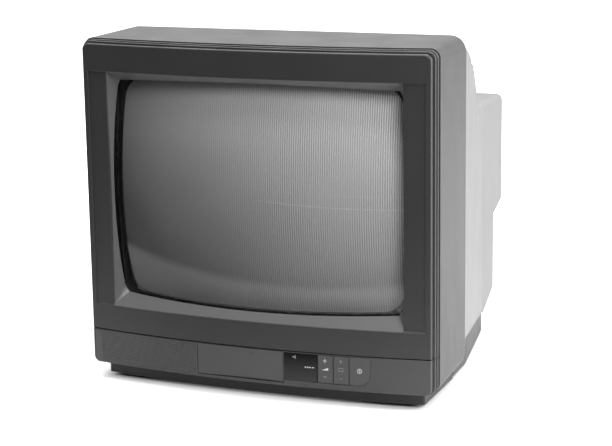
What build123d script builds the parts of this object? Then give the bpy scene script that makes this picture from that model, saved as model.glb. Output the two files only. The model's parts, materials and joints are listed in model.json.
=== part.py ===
"""Portable colour television receiver with a 37 cm cathode ray tube.

Frame: +X to the viewer's right, +Y from the screen towards the back, +Z up.
The origin is on the resting plane, in the middle of the set's width and depth.
The shapes are drawn with Y = 0 in the vertical plane through the two outer edges
of the bowed front, and moved forward to the origin as they are written.
"""

from build123d import *
import math
import os

os.makedirs("parts", exist_ok=True)

# ---------------------------------------------------------------- driving sizes
# "depth" is always a Y value; points written as pairs are (x, z) unless noted
MID_DEPTH = 173.2       # from the edges of the bowed front back to the middle of the depth
GAP = 0.05              # clearance between neighbouring pieces

# cabinet
HALF_W = 176.5          # half the width of the front cabinet
BACK_HALF_W = 175.3
FACE_INSET = 4.2        # the face stands inside the cabinet outline by this much
CORE_INSET = 5.4        # the grooves between the ribs are this deep
TOP_F, TOP_B = 331.8, 334.0   # top of the cabinet at its front and at its back edge
CAB_BOT = 16.4          # underside of the cabinet, above the resting plane
CAB_BACK = 96.0         # depth of the cabinet's back edge
SLEEVE_FRONT = 17       # depth where the tapered sleeve starts
WALL = 3.0
BOW = 14.6              # how far the middle of the front stands proud of its edges
FACE_W = HALF_W - FACE_INSET
BOW_R = (FACE_W**2 + BOW**2) / (2 * BOW)
BOW_Y = BOW_R - BOW     # the vertical axis of the bowed front

# screen recess
SEAM_Z = 50.6           # groove between the screen surround and the control strip
LEDGE_Z, LINTEL_Z = 75.2, 302.4   # bottom and top edges of the recess
PILLAR_X0, PILLAR_X1 = 147.0, 167.0
PILLAR_Y0, PILLAR_Y1 = -1.8, 0.2
REVEAL_TOP, REVEAL_BOT = 0.55, 0.62   # slopes of the recess above and below the tube

# picture tube
AXIS_Z = 190.0          # height of the tube's axis
AXIS = (0, AXIS_Z)
GLASS_R = 580.0         # radius of the outer face of the tube
GLASS_APEX = -12.5      # depth of the middle of that face
PANEL_W, PANEL_H = 150.5, 114.5   # half sizes of the glass panel at its corners
PANEL_B = 5.0           # bow of its sides
PANEL_R = 25.0
PANEL_T = 11.0
SEAL = 58.0             # depth of the seal between panel and funnel
NECK_R = 14.55
NECK_START, NECK_END = 226.0, 298.0

# fixings: the tube's lugs, and the rear cover's upper and lower screws
CORNERS = [(side, level) for side in (-1, 1) for level in (-1, 1)]
BOSSES = [(side * 163.0, AXIS_Z + level * 126.0) for side, level in CORNERS]
COVER_SCREWS = [(-155.0, 303.0), (155.0, 303.0)]
TAIL_SCREWS = [(-112.0, 27.5), (112.0, 27.5)]
CHASSIS_POSTS = [(x, y) for x in (-124, 124) for y in (118, 262)]   # (x, y)

# rear
COVER_FRONT = 96.35
REAR = 361.0            # depth of the back of the neck housing
REAR_LOW = 325.0        # depth of the socket wall below it
PART_Z0, PART_Z1 = 42.3, 21.0     # parting line of cover and tray, at its front and back ends
PART_BACK = 277         # depth of the back end of the parting line
BOARD_Z = 46.0          # top face of the main board
MOUNT_Z = BOARD_Z + GAP   # where the parts on the board stand
AERIAL = (-96, 63)
CORD = (84, 62)


# ================================================================ helpers
# A sketch or line block opened in a function doesn't join the caller's part, so
# these either place finished shapes in the caller's block or return a part.
def front(depth):
    """The vertical plane at a depth, facing forward, with x to the right and y up."""
    return Plane.XZ.offset(-depth)


def middle(span):
    return sum(span) / 2


def bow_at(x):
    """The depth of the bowed front at x."""
    return BOW_Y - math.sqrt(BOW_R**2 - x * x)


def bow_cut(offset, mode=Mode.INTERSECT):
    """Keeps (or takes away) what is behind the bowed front, moved back by offset."""
    with Locations((0, BOW_Y, 200)):
        Cylinder(BOW_R - offset, 900, mode=mode)


def glass_cut(inset, mode=Mode.INTERSECT):
    """Keeps (or takes away) what is behind the tube's outer face, moved back by inset."""
    with Locations((0, GLASS_APEX + GLASS_R, AXIS_Z)):
        Sphere(GLASS_R - inset, mode=mode)


def bowed(half_w, half_h, bow_x, bow_z, radius, at=AXIS_Z):
    """A rectangle with bowed sides and rounded corners, in the current sketch."""
    bottom, top = at - half_h, at + half_h
    with BuildLine() as edge:
        ThreePointArc((-half_w, bottom), (0, bottom - bow_z), (half_w, bottom))
        ThreePointArc((half_w, bottom), (half_w + bow_x, at), (half_w, top))
        ThreePointArc((half_w, top), (0, top + bow_z), (-half_w, top))
        ThreePointArc((-half_w, top), (-half_w - bow_x, at), (-half_w, bottom))
    make_face(edge.edges())
    fillet(vertices(), radius=radius)


def polygon_face(*points):
    """A straight-sided face in the current sketch."""
    with BuildLine() as edge:
        Polyline(*points, close=True)
    make_face(edge.edges())


def outline(inset, radius, top=TOP_F, bottom=CAB_BOT, half_w=HALF_W):
    """The cabinet's outline in the current sketch, inset all round."""
    with Locations((0, (top + bottom) / 2)):
        RectangleRounded(2 * (half_w - inset), top - bottom - 2 * inset, radius)


def block(x0, x1, y0, y1, z0, z1, mode=Mode.ADD):
    """A box between two x (in either order), two y and two z."""
    with Locations(((x0 + x1) / 2, (y0 + y1) / 2, (z0 + z1) / 2)):
        Box(abs(x1 - x0), y1 - y0, z1 - z0, mode=mode)


def standing_block(x, y, width, depth, z0, z1):
    """A box centred on (x, y)."""
    block(x - width / 2, x + width / 2, y - depth / 2, y + depth / 2, z0, z1)


def rod_x(y, z, radius, x0, x1, mode=Mode.ADD):
    with Locations(Location(((x0 + x1) / 2, y, z), (0, 90, 0))):
        Cylinder(radius, x1 - x0, mode=mode)


def rod_y(x, z, radius, y0, y1, mode=Mode.ADD):
    with Locations(Location((x, (y0 + y1) / 2, z), (90, 0, 0))):
        Cylinder(radius, y1 - y0, mode=mode)


def rod_z(x, y, radius, z0, z1, mode=Mode.ADD):
    with Locations((x, y, (z0 + z1) / 2)):
        Cylinder(radius, z1 - z0, mode=mode)


def panel_prism(grow, corner_grow, back, length=90):
    """The glass panel's outline, grown all round and extruded forward from depth back."""
    with BuildPart() as prism:
        with BuildSketch(front(back)):
            bowed(PANEL_W + grow, PANEL_H + grow, PANEL_B, PANEL_B, PANEL_R + corner_grow)
        extrude(amount=length)
    return prism.part


def save(piece, name):
    placed = piece.part.moved(Location((0, -MID_DEPTH, 0)))
    placed.label = name
    export_step(placed, f"parts/{name}.step")


def save_group(solids, name):
    group = Compound(children=[solid.moved(Location((0, -MID_DEPTH, 0))) for solid in solids])
    group.label = name
    export_step(group, f"parts/{name}.step")


# ================================================================ front cabinet
# Slabs stacked behind the bowed face: the face itself, then the ribs and
# grooves that run round its edge, each cut front and back by the bow.
SLABS = [  # inset, front offset, back offset, corner radius, edge round
    (FACE_INSET, 0.0, 4.4, 6.0, 1.6),
    (2.2, 5.6, 8.4, 7.0, 0.9),
    (1.1, 9.0, 12.2, 8.0, 0.9),
]
slabs = []
for inset, start, stop, corner, edge_round in SLABS:
    with BuildPart() as slab:
        with BuildSketch(front(30)):
            outline(inset, corner, bottom=CAB_BOT - inset)
        extrude(amount=60)
        bow_cut(start)
        fillet(slab.faces().sort_by(Axis.Y)[0].edges(), edge_round)
        bow_cut(stop, Mode.SUBTRACT)
    slabs.append(slab.part)


def bowed_body(inset, radius, offset, bottom=CAB_BOT):
    """The cabinet's outline from the bowed front, moved back by offset, to the sleeve."""
    with BuildPart() as body:
        with BuildSketch(front(SLEEVE_FRONT)):
            outline(inset, radius, bottom=bottom)
        extrude(amount=50)
        bow_cut(offset)
    return body.part


def sleeve(inset, front_radius, back_radius):
    """The tapered part of the cabinet, inset all round."""
    with BuildPart() as taper:
        with BuildSketch(front(SLEEVE_FRONT)):
            outline(inset, front_radius)
        with BuildSketch(front(CAB_BACK)):
            outline(inset, back_radius, top=TOP_B, half_w=BACK_HALF_W)
        loft(ruled=True)
    return taper.part


with BuildPart() as front_bore:
    add(bowed_body(CORE_INSET + WALL, 4.0, WALL, bottom=CAB_BOT - CORE_INSET))
    # keep the bore clear of the solid screen surround
    block(-170.5, 170.5, -40, SLEEVE_FRONT, LEDGE_Z - WALL, LINTEL_Z + WALL, Mode.SUBTRACT)

# the screen recess: flat pillars at the sides, slopes above and below the tube
with BuildPart() as recess:
    with BuildSketch(Plane.XY.offset(LEDGE_Z)):
        polygon_face((PILLAR_X1, PILLAR_Y1), (PILLAR_X0, PILLAR_Y0), (-PILLAR_X0, PILLAR_Y0),
                     (-PILLAR_X1, PILLAR_Y1), (-PILLAR_X1, -40), (PILLAR_X1, -40))
    extrude(amount=LINTEL_Z - LEDGE_Z)
# turned about the bow's axis, from 30 in front of the bowed face to 60 behind it
AHEAD, BEHIND = 30, 60
with BuildPart() as slopes:
    with BuildSketch(Plane(origin=(0, BOW_Y, 0), x_dir=(0, -1, 0), z_dir=(-1, 0, 0))):
        polygon_face((BOW_R + AHEAD, LINTEL_Z + AHEAD * REVEAL_TOP),
                     (BOW_R - BEHIND, LINTEL_Z - BEHIND * REVEAL_TOP),
                     (BOW_R - BEHIND, LEDGE_Z + BEHIND * REVEAL_BOT),
                     (BOW_R + AHEAD, LEDGE_Z - AHEAD * REVEAL_BOT))
    revolve(axis=Axis((0, BOW_Y, 0), (0, 0, 1)), revolution_arc=360)
with BuildPart() as throat:
    with BuildSketch(front(PILLAR_Y0)):
        bowed(PILLAR_X0, 114.0, 0.3, 0.3, 0.8, at=188.8)
    with BuildSketch(front(20)):
        bowed(138.4, 100.5, 4.6, 6.0, 16.0, at=190.9)
    loft(ruled=True)
with BuildPart() as glass_room:
    add(panel_prism(1, 1, 60, 100))
    glass_cut(-0.9)

with BuildPart() as front_cabinet:
    add(bowed_body(CORE_INSET, 5.0, 1.0, bottom=CAB_BOT - 4.5))
    for slab_part in slabs:
        add(slab_part)
    add(bowed_body(0.0, 9.0, 12.8))
    add(sleeve(0.0, 9.0, 15.0))
    add(front_bore.part, mode=Mode.SUBTRACT)
    add(sleeve(WALL, 7.0, 12.0), mode=Mode.SUBTRACT)
    add(recess.part & slopes.part, mode=Mode.SUBTRACT)
    add(throat.part & slopes.part, mode=Mode.SUBTRACT)
    # four posts for the tube's lugs, and two for the rear cover's screws
    for x, z in BOSSES:
        rod_y(x, z, 6.0, 0.5, 30)
    for x, z in COVER_SCREWS:
        rod_y(x, z, 6.0, 40, 96.3)
        block(x, math.copysign(174.5, x), 40, 94, z - 1.5, z + 1.5)
    add(glass_room.part, mode=Mode.SUBTRACT)
    for x, z in BOSSES:
        rod_y(x, z, 1.7, 12, 31, Mode.SUBTRACT)
    for x, z in COVER_SCREWS:
        rod_y(x, z, 1.6, 70, 97, Mode.SUBTRACT)

SEAM_HEIGHT, SEAM_DEPTH = 1.1, 1.4
with BuildPart() as seam_ring:
    with BuildSketch(Plane.XY.offset(SEAM_Z - SEAM_HEIGHT / 2)):
        with Locations((0, BOW_Y)):
            Circle(BOW_R + 5)
            Circle(BOW_R - SEAM_DEPTH, mode=Mode.SUBTRACT)
    extrude(amount=SEAM_HEIGHT)
    block(-173.6, 173.6, -40, 12, 0, 100, Mode.INTERSECT)


def strip_plate(x0, x1, z0, z1, offset, thick, round_left=0, round_right=0):
    """A bowed plate in the control strip, with its lower left or right corner rounded."""
    with BuildPart() as plate:
        with BuildSketch(front(20)):
            with Locations(((x0 + x1) / 2, (z0 + z1) / 2)):
                Rectangle(x1 - x0, z1 - z0)
            if round_left:
                fillet(vertices().sort_by(Axis.X)[:2].sort_by(Axis.Y)[0], round_left)
            if round_right:
                fillet(vertices().sort_by(Axis.X)[2:].sort_by(Axis.Y)[0], round_right)
        extrude(amount=50)
        bow_cut(offset)
        bow_cut(offset + thick, Mode.SUBTRACT)
    return plate.part


def bowed_face_edges(piece):
    """The edges of a strip plate's outer face."""
    return piece.faces().sort_by(SortBy.AREA)[-2:].sort_by(Axis.Y)[0].edges()


GRILLE_X0, GRILLE_X1, GRILLE_Z0, GRILLE_Z1 = -170.6, -55.4, 17.9, 49.9
GRILLE_FIT = 0.08
DOOR_X0, DOOR_X1 = -54.4, 33.0
KEYS_X0, KEYS_X1 = 34.0, 116.8
KEYS_Z0, KEYS_Z1 = 22.0, 49.4
HINGE_Y, HINGE_Z, HINGE_R = -11.4, 22.7, 3.1

# the pocket and through cut-outs of the strip; cuts start in front of the face
CUT_FRONT, CUT_DEPTH = -5, 20
with BuildPart() as front_cabinet_full:
    add(front_cabinet.part)
    add(seam_ring.part, mode=Mode.SUBTRACT)
    for cut in (
        strip_plate(GRILLE_X0, GRILLE_X1, GRILLE_Z0, GRILLE_Z1, CUT_FRONT, 7.3, round_left=4.6),
        strip_plate(-160, -59, 21, 46.6, CUT_FRONT, CUT_DEPTH),
        strip_plate(DOOR_X0 - 0.5, DOOR_X1 + 0.5, 19.4, 49.9, CUT_FRONT, CUT_DEPTH),
        strip_plate(KEYS_X0 - 0.1, KEYS_X1, KEYS_Z0, KEYS_Z1, CUT_FRONT, CUT_DEPTH,
                    round_right=11.0),
    ):
        add(cut, mode=Mode.SUBTRACT)
    rod_x(HINGE_Y, HINGE_Z, 0.86, DOOR_X0 - 1.6, DOOR_X0, Mode.SUBTRACT)
    rod_x(HINGE_Y, HINGE_Z, 0.66, DOOR_X1, DOOR_X1 + 0.95, Mode.SUBTRACT)
save(front_cabinet_full, "front_cabinet")

# ================================================================ control strip
with BuildPart() as speaker_grille:
    add(strip_plate(GRILLE_X0 + GRILLE_FIT, GRILLE_X1 - GRILLE_FIT,
                    GRILLE_Z0 + GRILLE_FIT, GRILLE_Z1 - GRILLE_FIT, 0.1, 2.1, round_left=4.5))
    fillet(bowed_face_edges(speaker_grille), 0.35)
    rod_x(HINGE_Y, HINGE_Z, 0.95, DOOR_X0 - 1.8, DOOR_X0, Mode.SUBTRACT)
save(speaker_grille, "speaker_grille")

# drop-down door in front of the setting-up controls, with its two pivot pins
with BuildPart() as flap_door:
    add(strip_plate(DOOR_X0, DOOR_X1, 19.7, 49.7, 0.15, 2.15))
    fillet(bowed_face_edges(flap_door), 0.4)
    for x in (DOOR_X0 + 0.2, DOOR_X1 - 4.2):
        block(x, x + 4, -12.9, -10.4, 21.4, 24.4)
    # the lower edge is rounded about the pivot, so it turns without touching the sill
    with BuildPart(mode=Mode.PRIVATE) as clear:
        block(DOOR_X0 - 1, DOOR_X1 + 1, -20, -5, 10, HINGE_Z)
        rod_x(HINGE_Y, HINGE_Z, HINGE_R, DOOR_X0 - 2, DOOR_X1 + 2, Mode.SUBTRACT)
    add(clear.part, mode=Mode.SUBTRACT)
    rod_x(HINGE_Y, HINGE_Z, 0.8, DOOR_X0 - 1.4, DOOR_X0 + 3)
    rod_x(HINGE_Y, HINGE_Z, 0.6, DOOR_X1 - 3, DOOR_X1 + 0.85)
    # tab behind the upper edge
    block(-4, 6, bow_at(0) + 2.0, bow_at(0) + 5.2, 45.4, 46.8)
save(flap_door, "flap_door")

# tray behind the door
SETUP_X = (-42, -28, -14)
SETUP_Z = 35
HEADPHONE = (12, SETUP_Z)
TRAY_BACK = -3.6        # front face of the tray's back wall
TRAY_WALL = 1.6
with BuildPart() as setup_tray:
    block(-56.2, 33.6, bow_at(56) + 3.6, TRAY_BACK + TRAY_WALL, 19.6, 50.0)
    block(-55.0, 32.4, -20, TRAY_BACK, 20.8, 48.8, Mode.SUBTRACT)
    # room for the door's tab, and for its hinge
    block(-60, 40, -20, bow_at(0) + WALL + 1.9, 44.9, 52, Mode.SUBTRACT)
    block(-60, 40, -20, -7.6, 19, 26.5, Mode.SUBTRACT)
    for x in SETUP_X:
        block(x - 4.1, x + 4.1, -20, 10, SETUP_Z - 2.6, SETUP_Z + 2.6, Mode.SUBTRACT)
    rod_y(*HEADPHONE, 3.6, -10, 10, Mode.SUBTRACT)
    for x in (-52, 29):
        rod_y(x, SETUP_Z, 1.2, TRAY_BACK + 0.1, 1.5)
save(setup_tray, "setup_tray")
for i, x in enumerate(SETUP_X):
    with BuildPart() as setup_button:
        block(x - 3.9, x + 3.9, -6.4, -1.0, SETUP_Z - 2.4, SETUP_Z + 2.4)
        fillet(setup_button.faces().sort_by(Axis.Y)[0].edges(), 0.5)
        # flange behind the tray, and the stem behind it
        block(x - 4.6, x + 4.6, TRAY_BACK + 1.75, -0.9, SETUP_Z - 3.1, SETUP_Z + 3.1)
        rod_y(x, SETUP_Z, 1.3, -1.2, 0.9)
    save(setup_button, f"setup_button_{i + 1}")
with BuildPart() as headphone_socket:
    rod_y(*HEADPHONE, 3.4, -5.2, 0)
    block(7, 17, -1.8, 9.2, 30, 40)
    rod_y(*HEADPHONE, 1.85, -6, 8, Mode.SUBTRACT)
save(headphone_socket, "headphone_socket")

# window, two rockers and the standby key, in one rounded cut-out: (x0, x1) of each
WINDOW = (34.05, 66.2)
VOLUME = (66.8, 81.3)
PROGRAMME = (81.9, 96.4)
STANDBY = (97.0, 116.6)
WINDOW_FIT = 0.06
PIVOT_Z = 35.8
AXLE_Y = -6.6           # depth of the rockers' axle
ROCKER_REACH = 9.5      # from the axle up and down to the switches
STANDBY_STEM = (106.7, PIVOT_Z)
with BuildPart() as display_window:
    bottom, top = KEYS_Z0 + WINDOW_FIT, KEYS_Z1 - WINDOW_FIT
    add(strip_plate(*WINDOW, bottom, top, 0.35, 2.0))
    for z0, z1 in ((bottom, KEYS_Z0 + 1.4), (KEYS_Z1 - 1.4, top)):
        block(WINDOW[0] + 0.5, WINDOW[1] - 0.5, -12.4, -9.2, z0, z1)
save(display_window, "display_window")

for name, span in (("volume_rocker", VOLUME), ("programme_rocker", PROGRAMME)):
    x = middle(span)
    back = bow_at(x) + 1.2
    with BuildPart() as key:
        add(strip_plate(*span, KEYS_Z0 + 0.45, KEYS_Z1 - 0.45, 0.25, 1.6))
        fillet(bowed_face_edges(key), 0.45)
        block(x - 4.5, x + 4.5, back, -4.4, PIVOT_Z - 3.0, PIVOT_Z + 3.0)
        for z in (PIVOT_Z - ROCKER_REACH, PIVOT_Z + ROCKER_REACH):
            block(x - 1.6, x + 1.6, back, -3.2, z - 1.2, z + 1.2)
        rod_x(AXLE_Y, PIVOT_Z, 1.1, span[0] - 5, span[1] + 5, Mode.SUBTRACT)
    save(key, name)

with BuildPart() as standby_button:
    add(strip_plate(*STANDBY, KEYS_Z0 + 0.25, KEYS_Z1 - 0.25, 0.2, 1.8, round_right=10.8))
    fillet(bowed_face_edges(standby_button), 0.45)
    rod_y(*STANDBY_STEM, 3.0, bow_at(106) + 1.4, -3.0)
    rod_y(*STANDBY_STEM, 1.2, -3.2, -0.9)
save(standby_button, "standby_button")
with BuildPart() as key_carrier:
    # frame behind the keys, with lugs that hold the rockers' axle and a guide for the key
    block(64.4, 118.6, -3.0, -1.2, 20.2, 50.2)
    block(68.5, 94.8, -10, 10, 23.6, 48.0, Mode.SUBTRACT)
    rod_y(*STANDBY_STEM, 3.15, -10, 10, Mode.SUBTRACT)
    for x0, x1 in ((64.6, 66.0), (81.4, 81.8), (96.45, 96.9)):
        block(x0, x1, -8.2, -2.0, PIVOT_Z - 3, PIVOT_Z + 3)
    block(95.0, 96.9, -3.0, -1.2, PIVOT_Z - 3, PIVOT_Z + 3)
    block(80.6, 82.6, -3.0, -1.2, 23, 49)
    rod_x(AXLE_Y, PIVOT_Z, 1.02, 60, 100, Mode.SUBTRACT)
with BuildPart() as rocker_axle:
    rod_x(AXLE_Y, PIVOT_Z, 1.0, 64.7, 96.85)
save_group([key_carrier.part, rocker_axle.part], "key_carrier")

# upright board behind the strip, with its switches, lamp and eye
CONTROL_BOARD_Y = 4.4
SWITCH_BACK = CONTROL_BOARD_Y - GAP
SWITCHES = (  # x, z, depth of the plunger's tip, depth of the body's front
    [(x, SETUP_Z, 1.95, 2.6) for x in SETUP_X]
    + [(middle(span), PIVOT_Z + dz, -1.9, 1.0)
       for span in (VOLUME, PROGRAMME) for dz in (ROCKER_REACH, -ROCKER_REACH)]
    + [(*STANDBY_STEM, 1.95, 2.6)])
LAMP = (59.5, 33.2)
LAMP_R, LAMP_TIP = 1.5, -4.0
EYE_Y = -0.5
with BuildPart() as control_board:
    block(-50, 121, CONTROL_BOARD_Y, 6.0, 21.5, 49.5)
    block(6.8, 17.2, 0, 8, 29.8, 40.2, Mode.SUBTRACT)
board_parts = [control_board.part]
for x, z, tip, body in SWITCHES:
    with BuildPart() as switch:
        block(x - 3, x + 3, body, SWITCH_BACK, z - 3, z + 3)
        rod_y(x, z, 1.5, tip, 3.0)
    board_parts.append(switch.part)
with BuildPart() as standby_lamp:
    rod_y(*LAMP, LAMP_R, LAMP_TIP, SWITCH_BACK)
    with Locations((LAMP[0], LAMP_TIP, LAMP[1])):
        Sphere(LAMP_R)
    rod_y(*LAMP, 1.9, 3.3, SWITCH_BACK)
save(standby_lamp, "standby_lamp")
with BuildPart() as remote_eye:
    block(44, 51, EYE_Y, SWITCH_BACK, 30, 39)
    with Locations((47.5, EYE_Y, 35)):
        Sphere(2.3)
board_parts.append(remote_eye.part)
save_group(board_parts, "control_board")

# ================================================================ loudspeaker
SPEAKER = (-106.0, 43.4)
SPEAKER_Y = 4.2         # the depths below are measured from here


def oval_loft(front_depth, front_radii, back_depth, back_radii):
    """A solid between two ellipses on the loudspeaker's axis."""
    with BuildPart() as oval:
        for depth, radii in ((front_depth, front_radii), (back_depth, back_radii)):
            with BuildSketch(front(SPEAKER_Y + depth)):
                with Locations(SPEAKER):
                    Ellipse(*radii)
        loft()
    return oval.part


def speaker_rod(radius, start, end, mode=Mode.ADD):
    rod_y(*SPEAKER, radius, SPEAKER_Y + start, SPEAKER_Y + end, mode)


with BuildPart() as speaker_frame:
    with BuildSketch(front(SPEAKER_Y - 1.2)):
        with Locations(SPEAKER):
            RectangleRounded(104, 46, 12)
    extrude(amount=-1.6)
    add(oval_loft(0.4, (46, 20.5), 16, (22, 15)))
    add(oval_loft(-1.3, (45, 19.4), 14.6, (20.6, 13.6)), mode=Mode.SUBTRACT)
    speaker_rod(8.6, 10, 20, Mode.SUBTRACT)
save(speaker_frame, "speaker_frame")
with BuildPart() as speaker_cone:
    add(oval_loft(-0.8, (42.4, 17.4), 11.5, (9.0, 8.4)))
    add(oval_loft(-1.4, (42.0, 17.0), 10.9, (8.0, 7.4)), mode=Mode.SUBTRACT)
    speaker_rod(8.0, 10.6, 18.0)
    speaker_rod(7.4, 11.6, 18.4, Mode.SUBTRACT)
save(speaker_cone, "speaker_cone")
with BuildPart() as speaker_magnet:
    speaker_rod(18.5, 16.2, 28.0)
    speaker_rod(8.9, 15, 26.5, Mode.SUBTRACT)
    speaker_rod(6.6, 12.9, 27.0)
save(speaker_magnet, "speaker_magnet")

# ================================================================ picture tube
MASK_INSET = PANEL_T + 12   # from the outer face of the glass back to the mask
with BuildPart() as panel_hollow:
    add(panel_prism(-8.5, -7, SEAL + 1))
    glass_cut(PANEL_T)
with BuildPart() as crt_faceplate:
    add(panel_prism(0, 0, SEAL))
    glass_cut(0)
    add(panel_hollow.part, mode=Mode.SUBTRACT)
save(crt_faceplate, "crt_faceplate")
with BuildPart() as phosphor_screen:
    add(panel_prism(-9.4, -8, SEAL - 16))
    glass_cut(PANEL_T + GAP)
    glass_cut(PANEL_T + 0.3, Mode.SUBTRACT)
save(phosphor_screen, "phosphor_screen")
with BuildPart() as shadow_mask:
    add(panel_prism(-13, -10, SEAL - 8))
    glass_cut(MASK_INSET)
    glass_cut(MASK_INSET + 0.35, Mode.SUBTRACT)
    block(-136, 136, -40, 60, AXIS_Z - 100, AXIS_Z + 100, Mode.INTERSECT)
save(shadow_mask, "shadow_mask")
with BuildPart() as mask_frame:
    add(panel_prism(-11.5, -9, 56, 16))
    add(panel_prism(-13.2, -10.5, 60, 18.4), mode=Mode.SUBTRACT)
    add(panel_prism(-24, -13, 60, 30), mode=Mode.SUBTRACT)
save(mask_frame, "mask_frame")

FUNNEL = [  # depth, half width, half height, corner radius
    (SEAL + 0.15, 151.5, 115.5, 27.0),
    (90, 131, 101, 40.0),
    (125, 103, 83, 52.0),
    (158, 74, 64, 52.0),
    (188, 46, 43, 42.5),
    (210, 27, 27, 26.95),
    (NECK_START, 14.7, 14.7, 14.65),
]


def funnel_solid(grow):
    with BuildPart() as bulb:
        for depth, half_w, half_h, radius in FUNNEL:
            with BuildSketch(front(depth)):
                with Locations(AXIS):
                    RectangleRounded(2 * (half_w + grow), 2 * (half_h + grow), radius + grow)
        loft(ruled=True)
    return bulb.part


with BuildPart() as crt_funnel:
    add(funnel_solid(0))
    add(funnel_solid(-3.0), mode=Mode.SUBTRACT)
save(crt_funnel, "crt_funnel")
with BuildPart() as crt_neck:
    rod_y(*AXIS, NECK_R, NECK_START + GAP, NECK_END)
    rod_y(*AXIS, NECK_R - 1.6, NECK_START - 1, NECK_END + 1, Mode.SUBTRACT)
save(crt_neck, "crt_neck")
GUN = [(236, 252, 11.2), (254, 272, 9.8), (274, 278, 9.8), (280, 284, 9.8)]   # y0, y1, radius
with BuildPart() as electron_gun:
    for y0, y1, radius in GUN:
        rod_y(*AXIS, radius, y0, y1)
    for z in (AXIS_Z - 10, AXIS_Z + 10):
        block(-2.5, 2.5, 238, 285, z - 1.2, z + 1.2)
    rod_y(*AXIS, 4.0, 230, 290, Mode.SUBTRACT)
save(electron_gun, "electron_gun")
# nine pins at tenths of a circle, the tenth place at the top left empty
PIN_CIRCLE_R = 7.6
with BuildPart() as crt_base:
    rod_y(*AXIS, 13.6, NECK_END + GAP, NECK_END + 4)
    for i in range(9):
        angle = math.radians(36 * i + 36)
        rod_y(PIN_CIRCLE_R * math.sin(angle), AXIS_Z + PIN_CIRCLE_R * math.cos(angle), 0.5,
              NECK_END + 3, NECK_END + 11)
    rod_y(*AXIS, 3.2, NECK_END + 3, NECK_END + 10)
save(crt_base, "crt_base")

# implosion-protection band round the panel, with four lugs;
# lug outlines are (x, z) from the tube's axis, for the upper right corner
LUG_TAB = [(128, 106), (142, 92), (170, 121), (169, 131), (158, 133)]
LUG_ROOT = [(130, 108), (144, 94), (148, 98), (152, 103), (138, 117)]
with BuildPart() as rim_band:
    add(panel_prism(1.7, 1.6, 52, 18))
    for side, level in CORNERS:
        for lug, back, length in ((LUG_TAB, 32.2, 2.0), (LUG_ROOT, 52, 20.5)):
            with BuildSketch(front(back)):
                polygon_face(*[(side * x, AXIS_Z + level * z) for x, z in lug])
            extrude(amount=length)
    add(panel_prism(0.1, 0, 60, 60), mode=Mode.SUBTRACT)
    for x, z in BOSSES:
        rod_y(x, z, 2.3, 20, 40, Mode.SUBTRACT)
save(rim_band, "rim_band")


def screw(x, z, y_head, length, radius, head):
    """A pan-head screw that points to the front, its head's underside at y_head."""
    slot = head * 0.6
    with BuildPart() as fastener:
        rod_y(x, z, radius, y_head - length, y_head)
        rod_y(x, z, head, y_head, y_head + 2.6)
        fillet(fastener.faces().sort_by(Axis.Y)[-1].edges(), 0.9)
        block(x - 0.5, x + 0.5, y_head + 1.2, y_head + 3, z - slot, z + slot, Mode.SUBTRACT)
        block(x - slot, x + slot, y_head + 1.2, y_head + 3, z - 0.5, z + 0.5, Mode.SUBTRACT)
    return fastener.part


# ---------------------------------------------------------------- deflection yoke
def cone_stack(*stations):
    """A solid through circles on the tube's axis, given as (depth, radius)."""
    with BuildPart() as stack:
        for depth, radius in stations:
            with BuildSketch(front(depth)):
                with Locations(AXIS):
                    Circle(radius)
        loft(ruled=True)
    return stack.part


def ring(radii_out, radii_in, y0, y1):
    """A tapered ring; its radii are (front, back)."""
    hoop = cone_stack((y0, radii_out[0]), (y1, radii_out[1]))
    bore = cone_stack((y0, radii_in[0]), (y1, radii_in[1]))
    return hoop - bore


with BuildPart() as yoke_liner:
    add(cone_stack((197, 44.5), (214, 31.0), (234, 18.2)))
    rod_y(*AXIS, 47.5, 195, 197.5)
    rod_y(*AXIS, 20.0, 233.5, 236)
    rod_y(*AXIS, 16.6, 236, 244)
    add(funnel_solid(0.4), mode=Mode.SUBTRACT)
    rod_y(*AXIS, NECK_R + 0.15, 190, 260, Mode.SUBTRACT)
save(yoke_liner, "yoke_liner")
with BuildPart() as yoke_coils:
    add(ring((51.0, 23.6), (45.6, 19.4), 198.0, 233.0)
        - ring((46.0, 31.5), (30.0, 10.0), 190.0, 214.0))
save(yoke_coils, "yoke_coils")
with BuildPart() as yoke_core:
    add(ring((53.5, 33.0), (48.6, 28.4), 203.0, 228.5))
save(yoke_core, "yoke_core")
CLAMP_SCREW = (240, AXIS_Z + 22.5)   # (y, z)
with BuildPart() as yoke_clamp:
    rod_y(*AXIS, 19.4, 237.0, 243.0)
    block(-5, 5, 237.0, 243.0, AXIS_Z + 17, AXIS_Z + 26)
    rod_y(*AXIS, 16.7, 230, 250, Mode.SUBTRACT)
    block(-1, 1, 230, 250, AXIS_Z + 15, AXIS_Z + 30, Mode.SUBTRACT)
    rod_x(*CLAMP_SCREW, 1.6, -5, 5, Mode.SUBTRACT)
with BuildPart() as clamp_screw:
    rod_x(*CLAMP_SCREW, 1.5, -7.5, 6.5)
    rod_x(*CLAMP_SCREW, 2.8, 5.05, 7.6)
    rod_x(*CLAMP_SCREW, 2.8, -7.6, -5.05)
save_group([yoke_clamp.part, clamp_screw.part], "yoke_clamp")

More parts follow.
